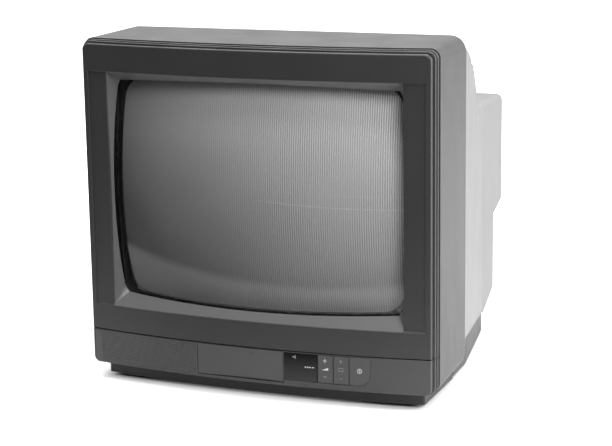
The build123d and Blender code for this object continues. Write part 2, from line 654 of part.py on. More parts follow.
# magnet rings on a sleeve round the neck
with BuildPart() as magnet_sleeve:
    rod_y(*AXIS, 17.0, 248, 274)
    for y0, y1 in ((248, 250), (272, 274), (260.4, 261.6)):
        rod_y(*AXIS, 19.0, y0, y1)
    rod_y(*AXIS, NECK_R + 0.1, 240, 280, Mode.SUBTRACT)
save(magnet_sleeve, "magnet_sleeve")
MAGNETS = [  # name, y0, y1, angle of the tab from the top in degrees
    ("purity_ring", 250.2, 260.3, 30),
    ("convergence_ring", 261.7, 271.8, -50),
]
TAB_R = 22.5
for name, y0, y1, tilt in MAGNETS:
    angle = math.radians(tilt)
    tab = (TAB_R * math.sin(angle), (y0 + y1) / 2, AXIS_Z + TAB_R * math.cos(angle))
    with BuildPart() as magnet:
        rod_y(*AXIS, 21.5, y0, y1)
        with Locations(Location(tab, (0, tilt, 0))):
            Box(4, 2.4, 8)
        rod_y(*AXIS, 17.1, 240, 280, Mode.SUBTRACT)
    save(magnet, name)

# ---------------------------------------------------------------- board on the end of the neck
NECK_BOARD_Y = NECK_END + 16.1
NECK_BOARD_T = 1.6
NECK_MOUNT_Y = NECK_BOARD_Y + NECK_BOARD_T + GAP
NECK_FINS = [  # x, z from the axis, width, height, depth
    (-30, 14, 10, 18, 9), (30, 14, 10, 18, 9), (0, -33, 18, 10, 9)]
NECK_CANS = [  # x, z from the axis, radius, depth
    (-14, 22, 4, 10), (14, 22, 4, 10), (-20, -34, 5, 12),
    (20, -34, 5, 12), (36, -14, 3.2, 8), (-36, -14, 3.2, 8)]
with BuildPart() as crt_socket:
    with BuildSketch(front(NECK_END + 4.2)):
        with Locations(AXIS):
            RectangleRounded(32, 32, 5)
    extrude(amount=-11.8)
    rod_y(*AXIS, 9.6, 290, NECK_END + 11.2, Mode.SUBTRACT)
save(crt_socket, "crt_socket")
with BuildPart() as neck_board:
    block(-46, 46, NECK_BOARD_Y, NECK_BOARD_Y + NECK_BOARD_T, AXIS_Z - 44, AXIS_Z + 30)
neck_parts = [neck_board.part]
for x, above, width, height, depth in NECK_FINS:
    z = AXIS_Z + above
    with BuildPart() as fin:
        block(x - width / 2, x + width / 2, NECK_MOUNT_Y, NECK_MOUNT_Y + depth,
              z - height / 2, z + height / 2)
        # two slots along the longer side
        for side in (-1, 1):
            if width < height:
                mid = x + side * width * 0.25
                block(mid - 0.8, mid + 0.8, NECK_END + 20, NECK_END + 30,
                      z - height, z + height, Mode.SUBTRACT)
            else:
                mid = z + side * height * 0.25
                block(x - width, x + width, NECK_END + 20, NECK_END + 30,
                      mid - 0.8, mid + 0.8, Mode.SUBTRACT)
    neck_parts.append(fin.part)
for x, above, radius, depth in NECK_CANS:
    with BuildPart() as can:
        rod_y(x, AXIS_Z + above, radius, NECK_MOUNT_Y, NECK_MOUNT_Y + depth)
        fillet(can.faces().sort_by(Axis.Y)[-1].edges(), 0.8)
    neck_parts.append(can.part)
save_group(neck_parts, "neck_board")

# ================================================================ rear cover
COVER = [  # depth, half width, top, corner radius
    (COVER_FRONT, 173.6, 331.2, 14),
    (122, 168.7, 326.0, 14),
    (150, 163.4, 318.5, 14),
    (174, 158.8, 309.5, 14),
    (190, 155.7, 297.5, 14),
    (206, 152.7, 281.0, 13),
    (222, 149.6, 262.0, 12),
    (238, 146.5, 246.6, 10),
    (280, 138.5, 243.8, 7),
    (REAR, 137.0, 242.0, 7),
]
COVER_LOW = -60         # the skin runs down to here before it is trimmed
COVER_T = 2.6
SLOT_W, SLOT_PITCH, SLOT_COUNT = 4.2, 15, 13


def cover_skin(inset):
    with BuildPart() as skin:
        for i, (depth, half_w, top, radius) in enumerate(COVER):
            # the inset skin starts further forward, so that it opens the front
            with BuildSketch(front(depth - (inset if i == 0 else 0))):
                with Locations((0, (top - inset + COVER_LOW) / 2)):
                    RectangleRounded(2 * (half_w - inset), top - inset - COVER_LOW,
                                     radius - inset * 0.8)
        loft(ruled=True)
    return skin.part


# side outlines below are in (y, z)
with BuildPart() as cover_solid:
    add(cover_skin(0))
    with BuildSketch(Plane.YZ.offset(-250)):
        polygon_face((COVER_FRONT, 400), (COVER_FRONT, PART_Z0), (PART_BACK, PART_Z1),
                     (285, 18.6), (REAR_LOW, 38), (REAR_LOW, 118), (REAR, 130), (REAR, 400))
    extrude(amount=500, mode=Mode.INTERSECT)
    fillet(cover_solid.faces().sort_by(Axis.Y)[-1].edges(), 4.0)
with BuildPart() as cover_hollow:
    add(cover_skin(COVER_T))
    with BuildSketch(Plane.YZ.offset(-250)):
        polygon_face((90, 400), (90, 0), (280, 0), (280, 22.6), (285, 21.6),
                     (REAR_LOW - COVER_T, 39.8), (REAR_LOW - COVER_T, 120),
                     (REAR - COVER_T, 132), (REAR - COVER_T, 400))
    extrude(amount=500, mode=Mode.INTERSECT)
with BuildPart() as rear_cover:
    add(cover_solid.part)
    add(cover_hollow.part, mode=Mode.SUBTRACT)
    # deep wells for the two upper screws
    for x, z in COVER_SCREWS:
        with BuildPart(mode=Mode.PRIVATE) as well:
            rod_y(x, z, 9.0, 96.6, 230)
            add(cover_skin(1.0), mode=Mode.INTERSECT)
        add(well.part)
        rod_y(x, z, 7.0, 99.6, 260, Mode.SUBTRACT)
        rod_y(x, z, 2.3, 90, 120, Mode.SUBTRACT)
    # cooling slots in the slope, the housing's top, its back and the socket wall
    with BuildSketch(Plane.XY.offset(236)):
        for depth, length in ((209, 36), (299, 80)):
            with Locations((0, depth)):
                with GridLocations(SLOT_PITCH, 1, SLOT_COUNT, 1):
                    Rectangle(SLOT_W, length)
    extrude(amount=90, mode=Mode.SUBTRACT)
    with BuildSketch(front(370)):
        with Locations((0, 190)):
            with GridLocations(SLOT_PITCH, 1, SLOT_COUNT, 1):
                Rectangle(SLOT_W, 62)
    extrude(amount=20, mode=Mode.SUBTRACT)
    with BuildSketch(front(330)):
        with Locations((65, 100)):
            with GridLocations(1, 7, 1, 4):
                Rectangle(90, 3)
    extrude(amount=10, mode=Mode.SUBTRACT)
    # openings for the aerial, the audio and video socket, and the cord
    rod_y(*AERIAL, 7.0, 315, 330, Mode.SUBTRACT)
    block(-32, 22, 315, 330, 55.2, 73.0, Mode.SUBTRACT)
    rod_y(*CORD, 5.2, 315, 330, Mode.SUBTRACT)
    for x, z in TAIL_SCREWS:
        rod_y(x, z, 2.3, 280, 310, Mode.SUBTRACT)
        rod_y(x, z, 6.5, 296.0, 330, Mode.SUBTRACT)
    # lip that centres the cover in the cabinet's back edge
    block(-120, 120, 93.0, 99, 326.4, 328.6)
save(rear_cover, "rear_cover")

# ================================================================ base tray and feet
TRAY_FRONT = 96.5
TRAY_Z = 3.5            # underside of the tray
FLOOR_Z = 6.0           # top of its floor


def tapered_hull(*levels):
    """A solid through levels of (z, right half of the outline as (x, y) from the front)."""
    with BuildPart() as hull:
        for z, right in levels:
            left = [(-x, y) for x, y in right]
            with BuildSketch(Plane.XY.offset(z)):
                Polygon(*left, *reversed(right), align=None)
        loft(ruled=True)
    return hull.part


base_outer = tapered_hull(
    (TRAY_Z, [(161.0, TRAY_FRONT), (159.5, 150), (140, 274)]),
    (43, [(173.2, TRAY_FRONT), (163.0, 150), (138.9, 276.6)]))
with BuildPart() as base_inner:
    add(tapered_hull(
        (3.4, [(158.5, 94), (157, 150), (137.5, 271.5)]),
        (43.1, [(170.7, 94), (160.4, 150), (136.4, 274)])))
    block(-400, 400, -100, 400, 0, FLOOR_Z, Mode.SUBTRACT)
with BuildPart() as plinth:
    block(-162.3, 162.3, -40, 99, TRAY_Z, 16.3)
    bow_cut(13.6)
    fillet(plinth.edges().filter_by(Axis.Z).group_by(Axis.Y)[0], 3.0)
with BuildPart() as plinth_bore:
    block(-159.8, 159.8, -40, 101, FLOOR_Z, 20)
    bow_cut(16.1)
with BuildPart() as base_tray:
    add(base_outer)
    add(plinth.part)
    add(base_inner.part, mode=Mode.SUBTRACT)
    add(plinth_bore.part, mode=Mode.SUBTRACT)
    # trim below the cabinet and the parting line
    with BuildSketch(Plane.YZ.offset(-250)):
        polygon_face((-50, 0), (-50, 16.3), (TRAY_FRONT, 16.3), (TRAY_FRONT, PART_Z0 - 0.25),
                     (PART_BACK, PART_Z1 - 0.25), (300, 18), (300, 0))
    extrude(amount=500, mode=Mode.INTERSECT)
    # posts for the chassis and for the rear cover's lower screws
    for x, y in CHASSIS_POSTS:
        rod_z(x, y, 4.5, 5, 40.0)
        rod_z(x, y, 1.3, 20, 41, Mode.SUBTRACT)
    for x, z in TAIL_SCREWS:
        rod_y(x, z, 4.6, 262, 283.5)
        block(x - 4.6, x + 4.6, 262, 274, 5, z)
        rod_y(x, z, 1.5, 264, 290, Mode.SUBTRACT)
    # slots in the floor
    with BuildSketch(Plane.XY):
        with Locations((0, 178)):
            with GridLocations(44, 44, 5, 3):
                Rectangle(30, 3.4)
    extrude(amount=10, mode=Mode.SUBTRACT)
save(base_tray, "base_tray")

feet = []
for x, y in [(-146, 26), (146, 26), (-122, 252), (122, 252)]:
    with BuildPart() as foot:
        rod_z(x, y, 9.0, 0, TRAY_Z - GAP)
        fillet(foot.edges().group_by(Axis.Z)[0], 0.8)
    feet.append(foot.part)
save_group(feet, "rubber_feet")
save_group([screw(x, z, 99.7, 24, 1.55, 4.0) for x, z in COVER_SCREWS]
           + [screw(x, z, 296.1, 26, 1.45, 4.0) for x, z in TAIL_SCREWS], "rear_cover_screws")

# ================================================================ chassis
RAIL_X0, RAIL_X1 = 118, 131.5
RAIL_Z0, RAIL_Z1 = 40.1, 44.3


def chassis_holes():
    for x, y in CHASSIS_POSTS:
        rod_z(x, y, 1.8, 30, 60, Mode.SUBTRACT)


with BuildPart() as chassis_frame:
    for side in (-1, 1):
        block(side * RAIL_X0, side * RAIL_X1, 106, 270, RAIL_Z0, RAIL_Z1)
        block(side * 129.2, side * RAIL_X1, 106, 316, RAIL_Z0, 50)
    for y in (106, 264):
        block(-RAIL_X1, RAIL_X1, y, y + 6, RAIL_Z0, RAIL_Z1)
    chassis_holes()
save(chassis_frame, "chassis_frame")
with BuildPart() as main_board:
    block(-129, 129, 108, 317.5, BOARD_Z - 1.6, BOARD_Z)
    chassis_holes()
save(main_board, "main_board")

inner_screws = [screw(x, z, 32.25, 18, 1.65, 4.2) for x, z in BOSSES]
for x, y in CHASSIS_POSTS:
    with BuildPart() as fixing:
        rod_z(x, y, 1.25, 27, MOUNT_Z)
        rod_z(x, y, 3.2, MOUNT_Z, BOARD_Z + 2.2)
        fillet(fixing.faces().sort_by(Axis.Z)[-1].edges(), 0.7)
        block(x - 2, x + 2, y - 0.4, y + 0.4, BOARD_Z + 1.2, BOARD_Z + 3, Mode.SUBTRACT)
    inner_screws.append(fixing.part)
save_group(inner_screws, "inner_screws")

# ---------------------------------------------------------------- flyback transformer
FLYBACK_X, FLYBACK_Y = 86, 250
FLYBACK_SIZE = 40
FLYBACK_H = 52
KNOBS = [("screen_knob", MOUNT_Z + 14), ("focus_knob", MOUNT_Z + 34)]   # name, z
with BuildPart() as flyback_transformer:
    with Locations((FLYBACK_X, FLYBACK_Y, MOUNT_Z + FLYBACK_H / 2)):
        Box(FLYBACK_SIZE, FLYBACK_SIZE, FLYBACK_H)
    fillet(flyback_transformer.edges().filter_by(Axis.Z), 3)
    # plate behind it for the knobs, and a foot at the front
    block(FLYBACK_X - 14, FLYBACK_X + 14, 270, 274, MOUNT_Z + 4, MOUNT_Z + 46)
    block(FLYBACK_X - 6, FLYBACK_X + 6, 226, 231, MOUNT_Z, MOUNT_Z + 20)
    for _, z in KNOBS:
        rod_y(FLYBACK_X, z, 2.0, 268, 280, Mode.SUBTRACT)
    rod_z(FLYBACK_X, FLYBACK_Y, 3.0, MOUNT_Z + 40, MOUNT_Z + 60, Mode.SUBTRACT)
with BuildPart() as flyback_core:
    core_side = FLYBACK_X - FLYBACK_SIZE / 2
    block(core_side - 11, core_side - 0.1, 243, 257, MOUNT_Z + 2, MOUNT_Z + 50)
    fillet(flyback_core.edges().filter_by(Axis.Y), 3)
save_group([flyback_transformer.part, flyback_core.part], "flyback_transformer")
for name, z in KNOBS:
    with BuildPart() as knob:
        rod_y(FLYBACK_X, z, 6.0, 274.1, 282)
        # twelve flutes round the rim and a slot across the back
        for i in range(12):
            angle = math.radians(30 * i)
            rod_y(FLYBACK_X + 6.2 * math.cos(angle), z + 6.2 * math.sin(angle), 0.7,
                  273, 283, Mode.SUBTRACT)
        block(FLYBACK_X - 0.7, FLYBACK_X + 0.7, 280.8, 283, z - 5, z + 5, Mode.SUBTRACT)
        rod_y(FLYBACK_X, z, 1.9, 269.5, 276)
    save(knob, name)

# ---------------------------------------------------------------- power supply
CHOPPER = (-74, 214)    # (x, y)
with BuildPart() as chopper_transformer:
    standing_block(*CHOPPER, 36, 36, MOUNT_Z, MOUNT_Z + 6)
    standing_block(*CHOPPER, 28, 28, MOUNT_Z + 6, MOUNT_Z + 28)
    standing_block(*CHOPPER, 36, 36, MOUNT_Z + 28, MOUNT_Z + 31)
with BuildPart() as chopper_core:
    block(-93.5, -92.1, 205, 223, MOUNT_Z + 4, MOUNT_Z + 30)
    block(-55.9, -54.5, 205, 223, MOUNT_Z + 4, MOUNT_Z + 30)
    block(-93.5, -54.5, 205, 223, MOUNT_Z + 31.1, MOUNT_Z + 37)
save_group([chopper_transformer.part] + list(chopper_core.solids()), "chopper_transformer")

CHOKE_X, CHOKE_Z = 100, MOUNT_Z + 14
FUSE = (60, MOUNT_Z + 6)
with BuildPart() as mains_choke:
    with Locations((CHOKE_X, 296, CHOKE_Z)):
        Box(30, 26, 28)
    block(CHOKE_X - 10, CHOKE_X + 10, 275, 315, MOUNT_Z + 8, MOUNT_Z + 20, Mode.SUBTRACT)
    rod_y(CHOKE_X, CHOKE_Z, 6.2, 283.1, 309)
with BuildPart() as mains_fuse:
    rod_y(*FUSE, 2.6, 284, 306)
with BuildPart() as fuse_clips:
    for y in (286, 304):
        block(56.5, 63.5, y - 2, y + 2, MOUNT_Z, MOUNT_Z + 8.4)
        rod_y(*FUSE, 2.65, 270, 320, Mode.SUBTRACT)
        block(57.8, 62.2, y - 3, y + 3, MOUNT_Z + 6, MOUNT_Z + 12, Mode.SUBTRACT)
save_group([mains_choke.part, mains_fuse.part] + list(fuse_clips.solids()), "mains_filter")

# ---------------------------------------------------------------- parts on the main board
ELECTROLYTICS = [  # x, y, radius, height
    (-30, 236, 13, 38), (-112, 150, 8, 25), (-88, 150, 8, 25), (-108, 182, 6, 20),
    (30, 140, 6, 20), (50, 160, 6.5, 22), (6, 196, 8, 25), (-20, 168, 5, 16),
    (74, 190, 5, 16), (112, 170, 6.5, 22), (112, 196, 5, 16), (-52, 130, 5, 14)]
HEAT_SINKS = [(8, 262), (-50, 262)]   # x, y of the front face
CHIPS = [  # x, y, width, depth
    (-6, 140, 44, 13), (-74, 176, 30, 10), (49, 212, 26, 10), (84, 140, 30, 10)]
FILM_CAPACITORS = [  # x, y, width, depth, height
    (60, 190, 18, 8, 14), (20, 226, 16, 7, 12), (50, 234, 14, 6, 11),
    (-40, 190, 12, 6, 10), (-112, 214, 18, 9, 15)]

cans = []
for x, y, radius, height in ELECTROLYTICS:
    top = MOUNT_Z + height
    cross = radius * 0.6
    with BuildPart() as can:
        rod_z(x, y, radius, MOUNT_Z, top)
        fillet(can.faces().sort_by(Axis.Z)[-1].edges(), 1.0)
        # crossed grooves in the top
        block(x - cross, x + cross, y - 0.3, y + 0.3, top - 0.4, top + 1, Mode.SUBTRACT)
        block(x - 0.3, x + 0.3, y - cross, y + cross, top - 0.4, top + 1, Mode.SUBTRACT)
    cans.append(can.part)
save_group(cans, "electrolytic_capacitors")

sinks = []
for x, y in HEAT_SINKS:
    with BuildPart() as sink:
        block(x - 26, x + 26, y, y + 2.4, MOUNT_Z, MOUNT_Z + 42)
        for i in range(-3, 4):
            fin_x = x + 8 * i
            block(fin_x - 0.8, fin_x + 0.8, y + 2.4, y + 14, MOUNT_Z + 2, MOUNT_Z + 42)
    sinks.append(sink.part)
save_group(sinks, "heat_sinks")

components = []
# a three-legged device in front of each heat sink
for x, y in HEAT_SINKS:
    with BuildPart() as device:
        block(x - 7.5, x + 7.5, y - 4.8, y - GAP, MOUNT_Z + 12, MOUNT_Z + 32)
        for leg_x in (x - 5, x, x + 5):
            block(leg_x - 0.5, leg_x + 0.5, y - 3.2, y - 2.4, MOUNT_Z, MOUNT_Z + 12)
    components.append(device.part)
# chips, each with its two rows of pins drawn as strips
for x, y, width, depth in CHIPS:
    with BuildPart() as chip:
        standing_block(x, y, width, depth, MOUNT_Z + 1.2, MOUNT_Z + 5)
        for side in (-1, 1):
            standing_block(x, y + side * depth / 2, width - 4, 0.7, MOUNT_Z, MOUNT_Z + 3)
    components.append(chip.part)
for x, y, width, depth, height in FILM_CAPACITORS:
    with BuildPart() as film:
        standing_block(x, y, width, depth, MOUNT_Z, MOUNT_Z + height)
        fillet(film.edges().filter_by(Axis.Z), 1.2)
    components.append(film.part)
save_group(components, "board_components")

# ---------------------------------------------------------------- tuner and sockets
with BuildPart() as tuner:
    block(-120, -78, 262, 316.5, MOUNT_Z, MOUNT_Z + 22)
    fillet(tuner.edges().filter_by(Axis.Z), 0.8)
with BuildPart() as aerial_socket:
    rod_y(*AERIAL, 4.6, 316.6, 329.5)
    rod_y(*AERIAL, 6.2, 316.6, 318.2)
    rod_y(*AERIAL, 3.6, 319, 331, Mode.SUBTRACT)
    rod_y(*AERIAL, 1.2, 318, 326)
    rod_y(*AERIAL, 0.7, 319.5, 327, Mode.SUBTRACT)
save_group([tuner.part, aerial_socket.part], "tuner")
with BuildPart() as av_socket:
    block(-31, 21, 300, 326.2, 56.0, 72.2)
    block(-28, 18, 318, 330, 58.4, 69.8, Mode.SUBTRACT)
    # contacts, in two rows of ten
    with BuildSketch(front(318)):
        with Locations((-5, 64.1)):
            with GridLocations(3.8, 4.6, 10, 2):
                Rectangle(1.2, 2.2)
    extrude(amount=-5.5)
    block(-26, 16, 304, 312, MOUNT_Z, 57)
save(av_socket, "av_socket")

# ================================================================ leads
with BuildPart() as anode_cap:
    with Locations(Location((0, 112, 285.5), (-30, 0, 0))):
        Cylinder(15, 9)
        Cylinder(9, 18)
    add(funnel_solid(0.12), mode=Mode.SUBTRACT)
# only the topmost solid, outside the funnel, is the cap
cap_outside = anode_cap.part.solids().sort_by(Axis.Z)[-1]


def lead(points, radius, tangents=None):
    """A round wire along a spline."""
    with BuildLine() as path:
        Spline(*points, tangents=tangents)
    with BuildPart() as wire:
        with BuildSketch(Plane(origin=path.edge() @ 0, z_dir=path.edge() % 0)):
            Circle(radius)
        sweep(path=path.wire())
    return wire.part


ANODE_PATH = [  # x, y, z from the cap to the top of the flyback transformer
    (11, 124, 300), (50, 150, 284), (100, 186, 226), (110, 222, 150), (95, 246, 115),
    (FLYBACK_X, FLYBACK_Y, MOUNT_Z + FLYBACK_H + 0.3)]
anode_wire = lead(ANODE_PATH, 2.1, tangents=[(1, 0.5, 0), (0, 0, -1)])
save_group([cap_outside, anode_wire], "anode_lead")

ring_path = (front(76) * Pos(0, AXIS_Z, 0) * RectangleRounded(320, 248, 62)).face().outer_wire()
with BuildPart() as degaussing_coil:
    with BuildSketch(Plane(origin=ring_path @ 0, z_dir=ring_path % 0)):
        Circle(4.2)
    sweep(path=ring_path)
save(degaussing_coil, "degaussing_coil")

yoke_leads = []
for x in (24, 28, 32, 36):
    points = [(x, 214, AXIS_Z - 55.5), (x - 4, 222, 118), (x - 8, 218, 84),
              (x - 10, 214, MOUNT_Z + 0.2)]
    yoke_leads.append(lead(points, 1.1))
save_group(yoke_leads, "yoke_leads")

with BuildPart() as cord_grommet:
    rod_y(*CORD, 5.1, 318, 334)
    rod_y(*CORD, 7.4, 325.1, 327.4)
    rod_y(*CORD, 7.4, 320.1, 322.3)
    rod_y(*CORD, 3.35, 300, 340, Mode.SUBTRACT)
save(cord_grommet, "cord_grommet")

# the cord leaves backwards, drops to the resting plane and runs left to the plug
CORD_X, CORD_Z = CORD
CORD_START, CORD_DROP = 312, 346   # depths
CORD_LOW = 4.2
with BuildPart() as mains_lead:
    with BuildLine() as cord_path:
        FilletPolyline((CORD_X, CORD_START, CORD_Z), (CORD_X, CORD_DROP, CORD_Z),
                       (CORD_X, CORD_DROP, CORD_LOW), (-24, CORD_DROP, CORD_LOW), radius=9)
    with BuildSketch(Plane(origin=(CORD_X, CORD_START, CORD_Z), z_dir=(0, 1, 0))):
        Circle(3.2)
    sweep()
save(mains_lead, "mains_lead")

PLUG_X = -24.2          # the plug's end towards the cord
with BuildPart() as mains_plug:
    block(-62, PLUG_X, 339.5, 352.5, 0.4, 13.4)
    fillet(mains_plug.edges().filter_by(Axis.X), 4)
    with BuildSketch(Plane.YZ.offset(PLUG_X)):
        with Locations((CORD_DROP, 4.9)):
            Circle(4.4)
    extrude(amount=-6)
    for y in (342.6, 349.4):
        rod_x(y, 7.0, 2.0, -80, -62)
save(mains_plug, "mains_plug")
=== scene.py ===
"""A small tube television with a bowed front, on a white table.

The set stands on z = 0 and is centred on x = 0. Its front faces -y and its right side, seen
from the front, is +x. Shapes are in millimetres, with y = 0 at the side edges of the bowed
front; shaders, lights and the camera are in metres.
"""
import json
import math
import bpy
from mathutils import Matrix, Vector


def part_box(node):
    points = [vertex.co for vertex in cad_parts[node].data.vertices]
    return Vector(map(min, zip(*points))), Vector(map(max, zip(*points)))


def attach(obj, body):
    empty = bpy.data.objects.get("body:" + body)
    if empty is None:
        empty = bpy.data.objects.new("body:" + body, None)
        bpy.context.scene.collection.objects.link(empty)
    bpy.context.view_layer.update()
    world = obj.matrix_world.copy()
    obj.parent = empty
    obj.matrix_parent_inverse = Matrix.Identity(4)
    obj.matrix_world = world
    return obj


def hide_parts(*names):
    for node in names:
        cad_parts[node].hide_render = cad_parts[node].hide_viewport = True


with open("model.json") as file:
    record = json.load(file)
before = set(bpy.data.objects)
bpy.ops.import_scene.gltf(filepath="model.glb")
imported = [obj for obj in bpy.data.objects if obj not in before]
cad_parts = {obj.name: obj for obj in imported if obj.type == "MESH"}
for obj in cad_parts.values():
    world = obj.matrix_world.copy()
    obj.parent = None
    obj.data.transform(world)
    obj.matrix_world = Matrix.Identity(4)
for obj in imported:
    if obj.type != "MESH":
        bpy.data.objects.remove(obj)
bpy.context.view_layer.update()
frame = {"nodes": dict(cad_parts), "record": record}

MM = 0.001

# Bowed front: half its width, how far its middle stands forward, and its radius.
FACE_HALF_W = 172.3
BOW = 14.6
BOW_R = (FACE_HALF_W ** 2 + BOW ** 2) / (2 * BOW)
# Place of y = 0 in the frame, in metres.
FRONT_Y = round(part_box("front_cabinet")[0].y + BOW * MM, 6)

# Tube.
AXIS_Z = 190.0
GLASS_R = 580.0         # radius of the outer glass
GLASS_APEX = -12.5      # y of the foremost point
GLASS_T = 11.0
SEAL_Y = 58.0           # back edge of the faceplate
PANEL_HALF_W = 150.5
PANEL_HALF_H = 114.5
PANEL_BULGE = 5.0       # how far the middle of each side swells outward
PANEL_CORNER_R = 25.0
RIM_INSET = 8.5         # thickness of the faceplate's side wall
SCREEN_INSET = 9.4
SCREEN_HALF_W = PANEL_HALF_W - SCREEN_INSET
SCREEN_HALF_H = PANEL_HALF_H - SCREEN_INSET


def bow(x):
    """The y of the bowed front at x."""
    return BOW_R - BOW - math.sqrt(BOW_R ** 2 - x * x)


# ------------------------------------------------------------------ shader graphs
class Graph:
    """The node tree of a material or world. An argument may be a socket or a plain value."""

    def __init__(self, owner):
        owner.use_nodes = True
        self.owner = owner
        self.tree = owner.node_tree

    def fill(self, socket, value):
        if isinstance(value, bpy.types.NodeSocket):
            self.tree.links.new(value, socket)
        elif socket.type == "RGBA":
            socket.default_value = (*value, 1)
        else:
            socket.default_value = value

    def feed(self, target, **inputs):
        """Fill inputs by name, with _ for a space."""
        for title, value in inputs.items():
            self.fill(target.inputs[title.replace("_", " ")], value)

    def node(self, kind, *values, settings=None, **inputs):
        """Make a node; values fill its first inputs in order."""
        made = self.tree.nodes.new(kind)
        for key, value in (settings or {}).items():
            setattr(made, key, value)
        for socket, value in zip(made.inputs, values):
            self.fill(socket, value)
        self.feed(made, **inputs)
        return made

    def paint(self, **inputs):
        self.feed(self.tree.nodes["Principled BSDF"], **inputs)

    def painted(self, title):
        """What is linked to an input of the surface."""
        return self.tree.nodes["Principled BSDF"].inputs[title].links[0].from_socket

    def coords(self):
        return self.node("ShaderNodeTexCoord").outputs["Object"]

    def geometry(self, output):
        return self.node("ShaderNodeNewGeometry").outputs[output]

    def axes(self, vector):
        return tuple(self.node("ShaderNodeSeparateXYZ", vector).outputs)

    def noise(self, vector, scale, detail=3.0, rough=0.55, stretch=None):
        if stretch:
            mapping = self.node("ShaderNodeMapping", Vector=vector, Scale=stretch)
            vector = mapping.outputs["Vector"]
        return self.node("ShaderNodeTexNoise", Vector=vector, Scale=scale, Detail=detail,
                         Roughness=rough).outputs["Fac"]

    def remap(self, value, span=(0.3, 0.7), to=(0.0, 1.0)):
        """Clamped change of range; the default span is where most of a noise lies."""
        return self.node("ShaderNodeMapRange", settings={"clamp": True}, Value=value,
                         From_Min=span[0], From_Max=span[1],
                         To_Min=to[0], To_Max=to[1]).outputs["Result"]

    def math(self, operation, first, *others):
        """Apply the operation from left to right."""
        for other in others or (0,):
            first = self.node("ShaderNodeMath", first, other,
                              settings={"operation": operation}).outputs[0]
        return first

    def mix(self, factor, first, second, blend="MIX"):
        made = self.node("ShaderNodeMix", settings={"data_type": "RGBA", "blend_type": blend})
        # inputs 6 and 7 and output 2 are the colour sockets
        for index, value in ((0, factor), (6, first), (7, second)):
            self.fill(made.inputs[index], value)
        return made.outputs[2]

    def times(self, first, second):
        return self.mix(1.0, first, second, "MULTIPLY")

    def bump(self, height, strength, distance, normal=None):
        """Distance is in metres."""
        made = self.node("ShaderNodeBump", Strength=strength, Distance=distance, Height=height)
        if normal is not None:
            self.feed(made, Normal=normal)
        return made.outputs["Normal"]


def new_graph(name):
    return Graph(bpy.data.materials.new(name))


def grey(v):
    return (v, v, v)


def shade(colour, factor):
    return tuple(min(1, v * factor) for v in colour)


# ------------------------------------------------------------------ general materials
def plastic(name, colour, rough, grain, grain_bump, vary, dust, edge=0.0, swirl=0.06):
    """Moulded plastic: fine grain, slow colour drift, patches of rubbing, light dust on top,
    and with edge a painted highlight along rounded edges.
    """
    sh = new_graph(name)
    place = sh.coords()
    drift = sh.noise(place, scale=9, detail=4)
    fine = sh.noise(place, scale=grain, detail=2, rough=0.6)
    rub = sh.noise(place, scale=26, detail=5, rough=0.62, stretch=(1.0, 1.0, 0.35))
    tint = sh.mix(sh.remap(drift), shade(colour, 1 - vary), shade(colour, 1 + vary))
    tint = sh.times(tint, sh.remap(fine, span=(0.25, 0.75), to=(0.86, 1.14)))
    if dust:
        upward = sh.remap(sh.axes(sh.geometry("Normal"))[2], span=(0.35, 1.0))
        amount = sh.math("MULTIPLY", upward, sh.remap(rub, span=(0.35, 0.7)), dust)
        dust_colour = (0.55, 0.54, 0.52)
        tint = sh.mix(amount, tint, dust_colour)
    normal = None
    if edge:
        normal = sh.node("ShaderNodeBevel", settings={"samples": 4},
                         Radius=edge * MM).outputs["Normal"]
        # painted highlight: rounded edges and corners lightened, varied in patches
        flatness = sh.node("ShaderNodeVectorMath", normal, sh.geometry("True Normal"),
                           settings={"operation": "DOT_PRODUCT"}).outputs["Value"]
        edge_highlight = sh.math("MULTIPLY", sh.remap(flatness, span=(0.985, 0.80)),
                         sh.remap(rub, span=(0.25, 0.6), to=(0.55, 1.0)))
        strength, brighter = 0.75, grey(2.6)
        tint = sh.mix(sh.math("MULTIPLY", edge_highlight, strength), tint, sh.times(tint, brighter))
    patches = sh.remap(rub, span=(0.25, 0.75), to=(rough - swirl, rough + swirl))
    sh.paint(Base_Color=tint,
             Roughness=sh.math("ADD", patches, sh.remap(fine, to=(-0.03, 0.03))),
             Normal=sh.bump(fine, strength=grain_bump, distance=0.00012, normal=normal))
    return sh


def metal(name, colour, rough, brushed, rust):
    """Brushed metal; brushed stretches the noise, rust is the strength of brown patches."""
    sh = new_graph(name)
    place = sh.coords()
    lines = sh.noise(place, scale=500, detail=3, rough=0.6, stretch=brushed)
    drift = sh.noise(place, scale=22, detail=4)
    tint = sh.mix(sh.remap(drift), shade(colour, 0.88), shade(colour, 1.08))
    if rust:
        patches = sh.remap(drift, span=(0.6, 0.75))
        rust_colour = (0.16, 0.08, 0.04)
        tint = sh.mix(sh.math("MULTIPLY", patches, rust), tint, rust_colour)
    sh.paint(Base_Color=tint, Metallic=0.95,
             Roughness=sh.remap(lines, to=(rough - 0.08, rough + 0.1)),
             Normal=sh.bump(lines, strength=0.12, distance=0.0001))
    return sh


